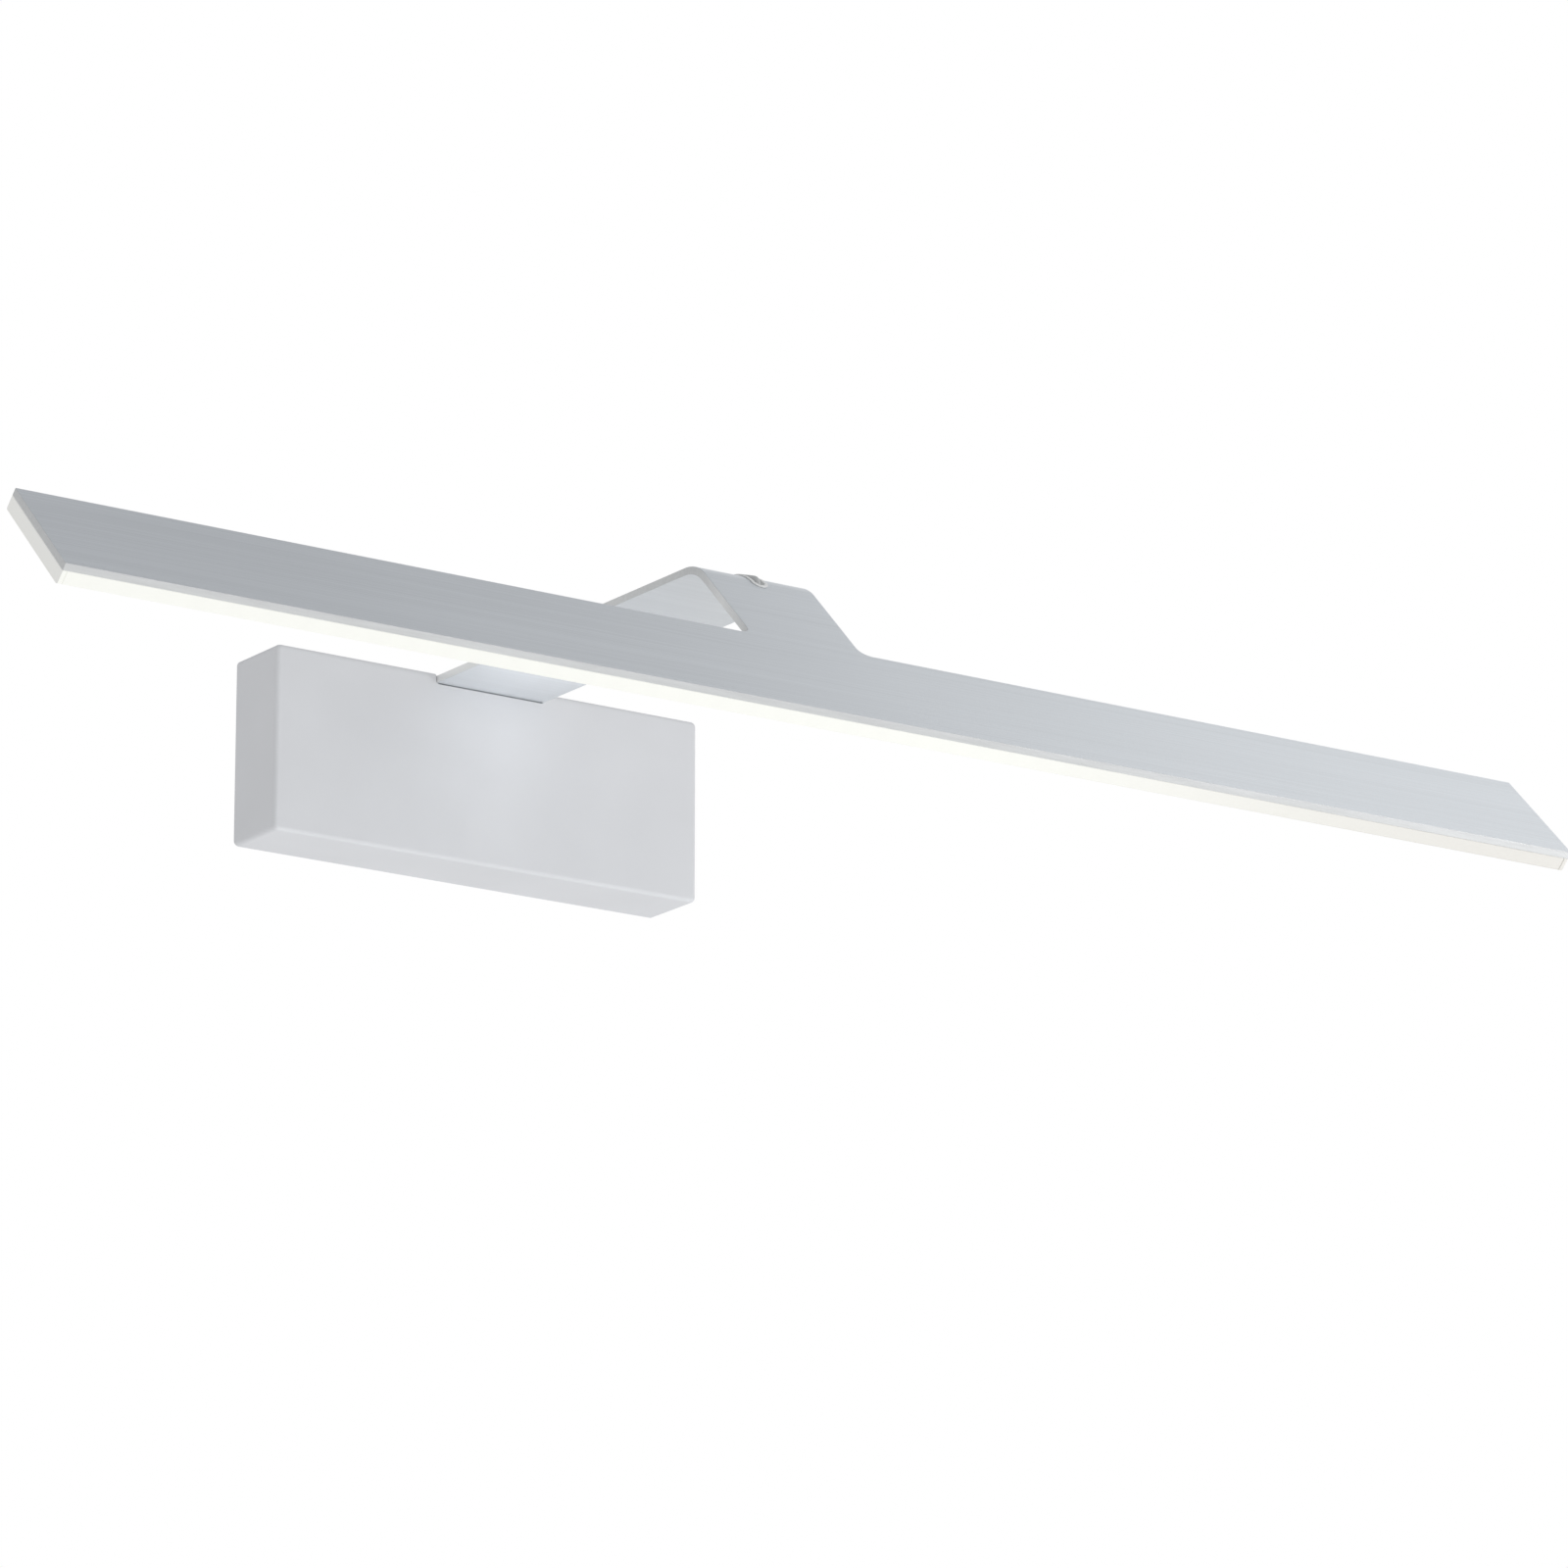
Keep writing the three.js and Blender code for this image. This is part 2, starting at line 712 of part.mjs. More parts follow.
// The lid lies on the case's open end and its rim reaches inside the walls.
function driverLid() {
  const outline = roundedRectangle(driverLength, driverHeight, driverCornerRadius);
  const lid = alongY(outline, [0, -driverLidThickness]);
  const rimLength = driverLength - 2 * (driverWall + clearance);
  const rimHeight = driverHeight - 2 * (driverWall + clearance);
  const rim = box(around(0, rimLength), [driverLidRim, -driverLidThickness / 2], around(0, rimHeight));
  const inside = box(
    around(0, rimLength - 2 * driverRimWidth),
    [0, driverLidRim + overrun],
    around(0, rimHeight - 2 * driverRimWidth),
  );
  return cut(join([lid, rim]), [inside]);
}

function driverScrew() {
  return panScrew(driverEarThickness + plateThickness - clearance).rotateX(Math.PI / 2);
}

// Terminal block

function poleAcross(pole) {
  return (pole - (poles - 1) / 2) * polePitch;
}

function terminalBlock() {
  const outline = roundedRectangle(blockWidth, blockHeight, blockCornerRadius);
  const body = alongY(outline, [0, -blockDepth]);
  const tools = [];
  for (let pole = 0; pole < poles; pole += 1) {
    const x = poleAcross(pole);
    const through = around(0, blockHeight + 2 * overrun);
    tools.push(barAlongZ(blockWireRadius, through, x, -blockWireDepth));
    for (const side of [-1, 1]) {
      const well = [-blockDepth - overrun, -blockDepth + screwWellDepth];
      tools.push(barAlongY(screwWellRadius, well, x, (side * screwWellSpacing) / 2));
    }
  }
  const fixing = [overrun, -blockDepth - overrun];
  tools.push(barAlongY(tabHoleRadius, fixing, -polePitch / 2, 0));
  return cut(body, tools);
}

function clampScrew() {
  return barAlongY(clampScrewRadius, [0, -clampScrewLength], 0, 0);
}

function blockScrew() {
  return panScrew(blockDepth + plateThickness - clearance).rotateX(Math.PI / 2);
}

// Earth point: a ring lug under a screw, with its barrel pointing down

function earthRing() {
  const ring = barAlongY(ringRadius, [0, -ringThickness], 0, 0);
  const barrelTop = -tabHoleRadius - clearance;
  const barrelEnd = -ringRadius - barrelLength;
  const barrel = barAlongZ(barrelRadius, [barrelEnd, -ringRadius], 0, -barrelRadius);
  const neck = box(around(0, 2 * barrelRadius), [0, -ringThickness], [barrelTop, barrelEnd / 2]);
  const bore = barAlongZ(
    wireRadius + clearance, [barrelEnd - overrun, barrelEnd + barrelBore], 0, -barrelRadius,
  );
  const hole = barAlongY(tabHoleRadius, [overrun, -ringThickness - overrun], 0, 0);
  return cut(join([ring, neck, barrel]), [bore, hole]);
}

function earthScrew() {
  return panScrew(ringThickness + plateThickness - clearance).rotateX(Math.PI / 2);
}

// Wires inside the canopy

function blockWireStart(pole) {
  const y = plateFront - blockWireDepth;
  const z = blockCentreHeight - blockHeight / 2;
  return new THREE.Vector3(blockAcross + poleAcross(pole), y, z);
}

// From a pole of the terminal block down, across and into the driver's right end: the shares are of
// the way across and of the rise from the low stretch to the driver
const supplyWireShares = [[0.12, 0], [0.45, 0.12], [0.82, 0.9]];

function supplyWire(pole) {
  const start = blockWireStart(pole);
  const side = 2 * pole - 1;
  const endDepth = driverWireDepth + (side * driverWireSpacing) / 2;
  const end = new THREE.Vector3(driverRight, plateFront - endDepth, driverCentreHeight);
  const low = start.z - (pole / 2 + 1) * wireDrop;
  const way = supplyWireShares.map(([across, rise]) => (
    start.clone().lerp(end, across).setZ(low + rise * (end.z - low))
  ));
  return wire([
    start.clone().setZ(start.z + wireTail),
    start,
    ...way,
    end,
    end.clone().setX(end.x - driverWall - driverWireInset),
  ], wireRadius, wireSteps);
}

// From the third pole down, to the right and up into the earth lug's barrel
function earthWire() {
  const start = blockWireStart(poles - 1);
  const lugEnd = earthHeight - ringRadius - barrelLength;
  const end = new THREE.Vector3(earthAcross, plateFront - barrelRadius, lugEnd);
  const middle = start.clone().lerp(end, 1 / 2);
  return wire([
    start.clone().setZ(start.z + wireTail),
    start,
    middle.setZ(start.z - wireDrop),
    end,
    end.clone().setZ(end.z + barrelBore - clearance),
  ], wireRadius, wireSteps);
}

// Inline connector between the driver's output lead and the lamp's lead

function inlineConnector() {
  const outline = roundedRectangle(connectorLength, connectorHeight, blockCornerRadius);
  const body = alongY(outline, [0, -connectorDepth]);
  const sockets = [-1, 1].map((side) => {
    const mouth = side * (connectorLength / 2);
    const reach = [mouth - side * connectorSocket, mouth + side * overrun];
    return barAlongX(leadRadius + clearance, reach, -connectorDepth / 2, 0);
  });
  return cut(body, sockets);
}

function connectorEnd(side) {
  return new THREE.Vector3(
    connectorAcross + (side * connectorLength) / 2,
    plateFront - connectorDepth / 2,
    connectorCentreHeight,
  );
}

function driverPigtail() {
  const tail = connectorSocket - clearance;
  const start = new THREE.Vector3(driverLeft, plateFront - driverWireDepth, driverCentreHeight);
  const end = connectorEnd(-1);
  const turn = driverLeft - pigtailLoop;
  return wire([
    start.clone().setX(driverLeft + driverWall + driverWireInset),
    start,
    new THREE.Vector3(turn, start.y, start.z + pigtailLoop / 2),
    new THREE.Vector3(turn, (start.y + end.y) / 2, end.z - pigtailLoop / 2),
    end.clone().setX((turn + end.x) / 2),
    end,
    end.clone().setX(end.x + tail),
  ], leadRadius, pigtailSteps);
}

// Route of the LED lead: up through the cover, over a low hump onto the arm, along the arm, through
// the passage in the bend, down the back of the neck and into the LED unit
function leadRoute() {
  const start = connectorEnd(1);
  const tail = connectorSocket - clearance;
  const exit = new THREE.Vector3(0, -leadExitSetback, canopyTop);
  const neckStart = bendRadius * slopeAngle;
  const plateStart = neckStart + neckLength - bendSetback;
  const leadEnd = plateStart + headWidth / 2 - boardWidth / 2 + leadTail;
  return [
    start.clone().setX(start.x - tail),
    start,
    new THREE.Vector3(start.x / 2, (start.y + exit.y) / 2, start.z),
    exit.clone().setZ(canopyTop - canopyWall - grommetLipThickness - leadRise),
    exit.clone().setZ(canopyTop + grommetLipThickness),
    exit.clone().setZ(canopyTop + leadHump).setY(-canopyDepth / 2),
    besideSheet(-armFlat - leadRise, -leadHump),
    besideSheet(leadHump - armFlat, -leadAbove - leadRadius),
    besideSheet(leadHump + 2 * leadRise - armFlat, -leadAbove),
    besideSheet((-armFlat * 2) / 3, -leadAbove),
    besideSheet(-armFlat / 3, -leadAbove),
    besideSheet(-passageLength, -leadAbove),
    besideSheet(passageRun - passageBoreHalf, -leadAbove),
    besideSheet(passageRun + passageBoreHalf, leadDepthBelow),
    besideSheet(neckStart + passageLipWidth, leadDepthBelow),
    besideSheet((neckStart + plateStart) / 2, leadDepthBelow),
    besideSheet(plateStart, leadDepthBelow),
    besideSheet(leadEnd, leadDepthBelow),
  ];
}

function ledLead() {
  return wire(leadRoute(), leadRadius, leadSteps);
}

// Rubber grommet in the cover's top wall, turned about the lead, z = 0 on the wall's outer face
function coverGrommet() {
  const lip = grommetLipThickness;
  const bore = leadRadius + clearance;
  const waist = grommetHoleRadius - clearance;
  const profile = [
    new THREE.Vector2(bore, -canopyWall - lip),
    new THREE.Vector2(grommetLipRadius, -canopyWall - lip),
    new THREE.Vector2(grommetLipRadius, -canopyWall),
    new THREE.Vector2(waist, -canopyWall),
    new THREE.Vector2(waist, 0),
    new THREE.Vector2(grommetLipRadius, 0),
    new THREE.Vector2(grommetLipRadius, lip),
    new THREE.Vector2(bore, lip),
    new THREE.Vector2(bore, -canopyWall - lip),
  ];
  return new THREE.LatheGeometry(profile, roundSides).rotateX(Math.PI / 2);
}

// A saddle over the lead, drawn in (x, z) with its feet on z = 0
function leadClip() {
  const inside = leadRadius + clearance;
  const crown = leadAbove;
  const foot = clipWidth / 2;
  const outside = inside + clipRoof;
  const shape = new THREE.Shape();
  shape.moveTo(foot, 0);
  shape.lineTo(foot, clipRoof);
  shape.lineTo(outside, clipRoof);
  shape.absarc(0, crown, outside, 0, Math.PI);
  shape.lineTo(-outside, clipRoof);
  shape.lineTo(-foot, clipRoof);
  shape.lineTo(-foot, 0);
  shape.lineTo(-inside, 0);
  shape.absarc(0, crown, inside, Math.PI, 0, true);
  shape.lineTo(inside, 0);
  return alongY(shape, around(0, clipLength), passageSteps);
}

// LED unit, drawn in the head's own axes: x along the lamp, y up the slope, z out of the visible face

function ledTray() {
  const low = ledUnitTop - trayDepth;
  const inner = trayHalf - trayThickness;
  const lip = diffuserInside - clearance;
  const half = [
    [trayHalf, ledUnitTop],
    [trayHalf, low + trayLipHeight],
    [lip, low + trayLipHeight],
    [lip, low],
    [inner, low],
    [inner, ledUnitTop - trayThickness],
  ].map(([y, z]) => new THREE.Vector2(y, z));
  const otherHalf = half.map((point) => new THREE.Vector2(-point.x, point.y)).reverse();
  const notchEnd = boardWidth / 2 - leadTail - leadNotchGap;
  const notch = box(
    around(0, leadNotchWidth),
    [notchEnd, lip + overrun],
    [low - overrun, ledUnitTop + overrun],
  );
  return cut(acrossX(new THREE.Shape([...half, ...otherHalf]), trayLength), [notch]);
}

// One of the two LED boards, drawn from the lamp's middle towards +x
function ledBoard() {
  const low = boardTop - boardThickness;
  const ends = [boardInnerGap, boardInnerGap + boardLength];
  const board = box(ends, around(0, boardWidth), [low, boardTop]);
  const count = Math.floor(boardLength / ledPitch);
  const first = boardInnerGap + (boardLength - (count - 1) * ledPitch) / 2;
  const chips = Array.from({ length: count }, (_, i) => box(
    around(first + i * ledPitch, ledLength),
    around(0, ledWidth),
    [low - ledHeight, low + boardThickness / 2],
  ));
  return join([board, ...chips]);
}

function diffuserOutline() {
  const half = headWidth / 2;
  const low = -sheet - diffuserDepth;
  const radius = diffuserCornerRadius;
  const outline = new THREE.Path();
  outline.moveTo(half, ledUnitTop);
  outline.lineTo(half, low + radius);
  outline.absarc(half - radius, low + radius, radius, 0, -Math.PI / 2, true);
  outline.absarc(-half + radius, low + radius, radius, -Math.PI / 2, -Math.PI, true);
  outline.lineTo(-half, ledUnitTop);
  return outline.getPoints(cornerSteps);
}

function diffuserCover() {
  const inside = -sheet - diffuserDepth + diffuserFace;
  const ribTop = -sheet - snapRibStart;
  const ribLow = ribTop - snapRibHeight;
  const half = [
    [diffuserInside, ledUnitTop],
    [diffuserInside, ribTop],
    [ribInside, ribTop],
    [ribInside, ribLow],
    [diffuserInside, ribLow],
    [diffuserInside, inside],
  ].map(([y, z]) => new THREE.Vector2(y, z));
  const otherHalf = half.map((point) => new THREE.Vector2(-point.x, point.y));
  const section = new THREE.Shape([...diffuserOutline(), ...otherHalf, ...half.reverse()]);
  const length = headLength - 2 * (endCapThickness + clearance);
  const notchLow = -(leadDepthBelow + leadRadius + leadNotchGap);
  const notch = box(
    around(0, leadNotchWidth),
    [ribInside - overrun, headWidth / 2 + overrun],
    [notchLow, ledUnitTop + overrun],
  );
  return cut(acrossX(section, length), [notch]);
}

// The right end cap with its plug, x = 0 on its outer face; the left one is the same piece turned
function endCap() {
  const plate = acrossX(new THREE.Shape(diffuserOutline()), endCapThickness);
  plate.translate(-endCapThickness / 2, 0, 0);
  const inside = -sheet - diffuserDepth + diffuserFace;
  const plug = box(
    [-endCapThickness - endCapPlugLength, -endCapThickness / 2],
    around(0, 2 * (ribInside - clearance)),
    [inside + clearance, ledUnitTop - clearance],
  );
  return join([plate, plug]);
}

// Materials

function material(color, roughness, metalness) {
  return new THREE.MeshStandardMaterial({ color, roughness, metalness });
}

const brushedAluminium = () => material('#b9bdc3', 0.42, 0.75);
const paintedSteel = () => material('#d2d5d8', 0.5, 0.15);
const zincSteel = () => material('#a9abad', 0.4, 0.8);
const opalPlastic = () => material('#f4f4f0', 0.35, 0);
const whitePlastic = () => material('#e9e9e6', 0.5, 0);
const greyRubber = () => material('#8d9092', 0.8, 0);
const clearLead = () => material('#d6d8d8', 0.5, 0);
const boardWhite = () => material('#f0f0ea', 0.5, 0);
const boardGreen = () => material('#2f6b45', 0.6, 0);
const liveBrown = () => material('#6b4026', 0.5, 0);
const neutralBlue = () => material('#2f5fa6', 0.5, 0);
const earthGreen = () => material('#5f9a3a', 0.5, 0);

// Assembly

const lamp = new THREE.Group();
const head = new THREE.Group();
head.position.set(0, -headCentreAhead, headCentreHeight);
head.rotation.x = slopeAngle;
lamp.add(head);

function add(name, geometry, finish, [x, y, z] = [0, 0, 0], parent = lamp) {
  const mesh = new THREE.Mesh(geometry, finish);
  mesh.name = name;
  mesh.position.set(x, y, z);
  parent.add(mesh);
  return mesh;
}

add('canopy_cover', canopyCover(), paintedSteel());
add('wall_plate', wallPlate(), zincSteel());
add('arm_head_plate', armHeadPlate(), brushedAluminium());
add('bend_grommet', bendGrommet(), greyRubber());
add('cover_grommet', coverGrommet(), greyRubber(), [0, -leadExitSetback, canopyTop]);
add('mains_entry_bush', entryBush(), greyRubber(), [entryAcross, 0, entryHeight]);

for (const [side, word] of [[-1, 'left'], [1, 'right']]) {
  const screwAcross = side * tabAcross;
  const studAcross = (side * studSpacing) / 2;
  const earAcross = driverAcross + side * earOffset;
  const earFace = plateFront - driverEarThickness;
  const washerEnd = flangeRear + washerThickness;
  add(`cover_screw_${word}`, coverScrew(), zincSteel(), [screwAcross, -coverScrewSetback, canopyTop]);
  add(`flange_washer_${word}`, flangeWasher(), zincSteel(), [studAcross, flangeRear, studHeight]);
  add(`flange_nut_${word}`, flangeNut(), zincSteel(), [studAcross, washerEnd, studHeight]);
  add(`driver_screw_${word}`, driverScrew(), zincSteel(), [earAcross, earFace, driverCentreHeight]);
}

add('driver_case', driverCase(), whitePlastic(), [driverAcross, plateFront, driverCentreHeight]);
add('driver_board', driverBoard(), boardGreen(), [driverAcross, plateFront, driverCentreHeight]);
add('driver_lid', driverLid(), whitePlastic(), [driverAcross, driverOpenEnd, driverCentreHeight]);

add('terminal_block', terminalBlock(), whitePlastic(), [blockAcross, plateFront, blockCentreHeight]);
for (let pole = 0; pole < poles; pole += 1) {
  for (const [side, word] of [[-1, 'lower'], [1, 'upper']]) {
    const place = [
      blockAcross + poleAcross(pole),
      plateFront - blockDepth + screwWellDepth,
      blockCentreHeight + (side * screwWellSpacing) / 2,
    ];
    add(`clamp_screw_${word}_${pole + 1}`, clampScrew(), zincSteel(), place);
  }
}
add('block_screw', blockScrew(), zincSteel(), [
  blockAcross - polePitch / 2,
  plateFront - blockDepth,
  blockCentreHeight,
]);

add('earth_lug', earthRing(), zincSteel(), [earthAcross, plateFront, earthHeight]);
add('earth_screw', earthScrew(), zincSteel(), [
  earthAcross,
  plateFront - ringThickness,
  earthHeight,
]);

add('live_wire', supplyWire(0), liveBrown());
add('neutral_wire', supplyWire(1), neutralBlue());
add('earth_wire', earthWire(), earthGreen());
add('driver_output_lead', driverPigtail(), clearLead());
add('inline_connector', inlineConnector(), whitePlastic(), [
  connectorAcross,
  plateFront,
  connectorCentreHeight,
]);
add('led_lead', ledLead(), clearLead());
clipPlaceShares.forEach((share, i) => {
  const ahead = canopyDepth + share * armFlat;
  add(`lead_clip_${i + 1}`, leadClip(), clearLead(), [0, -ahead, canopyTop]);
});

add('led_tray', ledTray(), zincSteel(), [0, 0, 0], head);
add('led_board_right', ledBoard(), boardWhite(), [0, 0, 0], head);
add('led_board_left', ledBoard(), boardWhite(), [0, 0, 0], head).rotation.z = Math.PI;
add('diffuser_cover', diffuserCover(), opalPlastic(), [0, 0, 0], head);
add('end_cap_right', endCap(), opalPlastic(), [headLength / 2, 0, 0], head);
add('end_cap_left', endCap(), opalPlastic(), [-headLength / 2, 0, 0], head).rotation.z = Math.PI;

export default lamp;
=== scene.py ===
"""Looks of a wall light: a box canopy, an arm folded from one sheet that widens into a long sloping
plate, and a slim LED unit with an opal diffuser under it. Lengths are in metres."""

import math

import bmesh
import bpy
import numpy as np
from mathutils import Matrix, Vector


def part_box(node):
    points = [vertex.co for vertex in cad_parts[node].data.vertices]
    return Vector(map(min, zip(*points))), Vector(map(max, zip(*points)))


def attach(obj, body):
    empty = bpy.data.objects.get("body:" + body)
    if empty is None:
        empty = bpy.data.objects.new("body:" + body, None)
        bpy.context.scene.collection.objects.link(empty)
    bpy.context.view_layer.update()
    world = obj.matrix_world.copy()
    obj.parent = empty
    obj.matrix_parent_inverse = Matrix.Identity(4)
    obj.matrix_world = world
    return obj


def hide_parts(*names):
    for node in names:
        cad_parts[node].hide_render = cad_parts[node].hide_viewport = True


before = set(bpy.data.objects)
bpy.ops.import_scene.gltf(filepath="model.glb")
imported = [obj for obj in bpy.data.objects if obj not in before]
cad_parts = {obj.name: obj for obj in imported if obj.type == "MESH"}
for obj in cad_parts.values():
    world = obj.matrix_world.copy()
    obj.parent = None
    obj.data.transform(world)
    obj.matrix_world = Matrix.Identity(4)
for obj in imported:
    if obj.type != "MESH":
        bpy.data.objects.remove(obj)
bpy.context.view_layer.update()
MM = 0.001

# Sizes of the sheet and the fittings, each as in the solids that they dress
CLEARANCE = 0.3 * MM
SHEET = 2.5 * MM
ARM_WIDTH = 41 * MM
ARM_REACH = 150 * MM
BEND_RADIUS = 16 * MM
SLOPE = math.radians(45)
NECK_LENGTH = 42.5 * MM
NECK_FILLET = 4 * MM
HEAD_WIDTH = 43 * MM
ROOT_RADIUS = 1 * MM
FLANGE_HEIGHT = 24 * MM
STUD_SPACING = 24 * MM
STUD_DROP = 16 * MM
STUD_HOLE_RADIUS = 2.3 * MM
CANOPY_WALL = 1.2 * MM
NOTCH_SIDE_GAP = 0.5 * MM
NOTCH_DROP = 0.6 * MM
SCREW_HEAD_HEIGHT = 1.9 * MM
SCREW_SHANK_SHARE = 1.5 / 2.9
GROMMET_HOLE_RADIUS = 3 * MM
GROMMET_LIP = 0.8 * MM
LEAD_RADIUS = 1 * MM
LEAD_HUMP = 5.4 * MM
LEAD_RISE = 4 * MM
LEAD_TAIL = 4 * MM
LEAD_EXIT_SETBACK = 10 * MM
CONNECTOR_SOCKET = 3 * MM
LED_BOARD_WIDTH = 16 * MM
LED_PITCH = 12 * MM

# Sizes of the passage and its lead that are the scene's own, closer to the photograph than the
# solids'. The angle, in radians, is that of the passage's middle round the bend. The lead's places
# are runs from that middle, each with a depth.
TOUCH = 0.03 * MM
PASSAGE_LENGTH = 17 * MM
PASSAGE_WIDTH = 5.4 * MM
PASSAGE_ANGLE = 0.35
PASSAGE_LIP_WIDTH = 0.4 * MM
PASSAGE_LIP_THICKNESS = 0.35 * MM
PASSAGE_WALL = 0.5 * MM
SUNK_LIP_SHARE = 0.08
LIP_ROUNDING_SHARE = 1 / 3
LEAD_IN_PASSAGE = ((-3 * MM, 0.05 * MM), (0.5 * MM, 0.15 * MM), (4 * MM, -0.15 * MM))
LEAD_DIP_SETBACK = 1.35 * MM
LEAD_DIP_END = 0.6 * MM

# How far the cover grows to fit the photograph, the band beside each wall that grows with it, how
# far the notch closes round the arm, what is pressed up to the plate, and how much of that gap goes
COVER_GROWTH = 0.8 * MM
COVER_BAND = 6 * MM
NOTCH_CLOSED_SIDE = 0.3 * MM
NOTCH_CLOSED_DROP = 0.35 * MM
PRESSED_ON = ("diffuser_cover", "end_cap_left", "end_cap_right")
PRESSED_SHARE = 0.85

# Forms of the screws. A grub screw's shank is a trace narrower than its head, to tell the two apart.
THREAD_PITCH = 0.6 * MM
THREAD_DEPTH = 0.18 * MM
RECESS_HALF_WIDTH = 0.42 * MM
RECESS_REACH_SHARE = 0.62
RECESS_DEPTH_SHARE = 0.55
RECESS_EDGE_SHARE = 0.3
DOME_POWER = 2.8
TIP_LENGTH = 0.01 * MM
TIP_RADIUS_SHARE = 0.6
GRUB_HEAD_SHARE = 0.16
GRUB_SHANK_SHARE = 0.999

# Roundings of the edges
SHEET_ROUNDING = 0.3 * MM
RUBBER_ROUNDING = 0.25 * MM
MOULDED_ROUNDING = 0.2 * MM
COVER_ROUNDING = 0.18 * MM
SMALL_ROUNDING = 0.15 * MM
THIN_ROUNDING = 0.1 * MM

# Places read from the frame
cover_low, cover_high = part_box("canopy_cover")
head_low, head_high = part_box("arm_head_plate")
CANOPY_DEPTH = -cover_low.y
CANOPY_TOP = cover_high.z
CANOPY_HALF_WIDTH = cover_high.x
HEAD_LENGTH = head_high.x - head_low.x

# The flat blank of the sheet. A run is a length along its outer face from where the bend starts.
BEND_SETBACK = BEND_RADIUS * math.tan(SLOPE / 2)
BEND_RUN = BEND_RADIUS * SLOPE
ROOT_FOLD = ROOT_RADIUS + SHEET
FLANGE_REAR = CANOPY_WALL + CLEARANCE + SHEET - CANOPY_DEPTH
ARM_FLAT = ARM_REACH - BEND_SETBACK
ARM_START = -(CANOPY_DEPTH + ARM_FLAT + FLANGE_REAR - ROOT_FOLD)
ROOT_START = ARM_START - ROOT_FOLD * math.pi / 2
FLANGE_START = ROOT_START - (FLANGE_HEIGHT - ROOT_FOLD)
PLATE_START = BEND_RUN + NECK_LENGTH - BEND_SETBACK
PLATE_END = PLATE_START + HEAD_WIDTH
PASSAGE_RUN = BEND_RADIUS * PASSAGE_ANGLE
PASSAGE_STRAIGHT_HALF = (PASSAGE_LENGTH - PASSAGE_WIDTH) / 2

# Fineness and limits of the surfaces
ARM_COLUMNS = 24
FOLD_STEPS = 10
RING_STEPS = 6
FILLET_STEPS = 8
ROUND_STEPS = 64
SIDE_STEPS = 16
TUBE_STEPS = 20
LEAD_STEPS = 16
CORNER_STEPS = 4
DOME_POINTS = 22
SHANK_POINTS = 34
SHEET_ROUNDING_STEPS = 3
ROUNDING_STEPS = 2
FACE_WEIGHT = 100
MERGE_DISTANCE = 0.002 * MM
NEARLY_ZERO = 1e-9
FLAT_LIMIT = math.radians(0.5)
SMOOTH_LIMIT = math.radians(35)
TUBE_SIDE_GUIDE = (0.31, 0.17, 0.94)

# Colours
CANOPY_GREY = (0.655, 0.667, 0.695)
PLATE_GREY = (0.672, 0.7, 0.728)
EDGE_GREY = (0.53, 0.541, 0.547)
# Painted light: a lighter shade of the same cut edge, for the light that the arm's edges catch near the
# root
ARM_EDGE_PAINTED_LIGHT_GREY = (0.82, 0.83, 0.83)
ZINC_GREY = (0.55, 0.56, 0.57)
STEEL_GREY = (0.6, 0.61, 0.62)
TIN_GREY = (0.62, 0.6, 0.55)
LEAD_GREY = (0.46, 0.47, 0.475)
BEND_RUBBER_GREY = (0.72, 0.73, 0.73)
PALE_RUBBER_GREY = (0.58, 0.6, 0.61)
DARK_RUBBER_GREY = (0.24, 0.25, 0.26)
CLIP_GREY = (0.72, 0.73, 0.73)
CASE_WHITE = (0.8, 0.8, 0.78)
BLOCK_WHITE = (0.76, 0.76, 0.73)
OPAL_WHITE = (0.36, 0.36, 0.35)
OPAL_GLOW = (0.545, 0.55, 0.515)
RIGHT_END_GLOW = (0.31, 0.295, 0.27)
END_FACE_GLOW = (0.385, 0.385, 0.375)
WIRE_BROWN = (0.16, 0.055, 0.02)
WIRE_BLUE = (0.03, 0.12, 0.4)
WIRE_GREEN = (0.1, 0.32, 0.05)
WIRE_YELLOW = (0.75, 0.62, 0.03)
BOARD_GREEN = (0.03, 0.15, 0.06)
TRACK_GREEN = (0.07, 0.26, 0.1)
BOARD_WHITE = (0.8, 0.8, 0.76)
TRACK_WHITE = (0.86, 0.86, 0.83)
PHOSPHOR_YELLOW = (0.85, 0.62, 0.12)
FLOOR_WHITES = ((0.92, 0.92, 0.915), (0.935, 0.935, 0.93))
CARD_GREY = (0.4, 0.41, 0.43)
CARD_WHITE = (0.97, 0.985, 1.0)

# How often the patterns of the finishes repeat in a metre, each way where that differs. The broad
# streaks repeat a share as often as the fine ones.
COAT_PEEL = 1500
COAT_CLOUD = 28
COAT_FLECK = 5200
PLATE_STREAK = (5, 2400, 2400)
EDGE_STREAK = (60, 900, 900)
BROAD_STREAK_SHARES = (0.4, 0.16, 0.16)
BRUSHED_CLOUD = 9
ZINC_CRYSTALS = 260
ZINC_LINES = (30, 1500, 1500)
ZINC_CLOUD = 70
CASE_SPARK = 2600
BLOCK_SPARK = 1200
CLIP_SPARK = 900
RUBBER_SPARK = 3200
LEAD_SPARK = 500
MOULDED_DRIFT = 90
INSULATION_DRIFT = 400
INSULATION_BANDS = 160
BOARD_CELLS = 210
BOARD_WEAVE = 1800
OPAL_MILK = 600
FLOOR_DRIFT = 1.5

# Heights of the textures
PEEL_RELIEF = 0.02 * MM
SPARK_RELIEF = 0.012 * MM
LEAD_RELIEF = 0.008 * MM
STREAK_RELIEF = 0.004 * MM

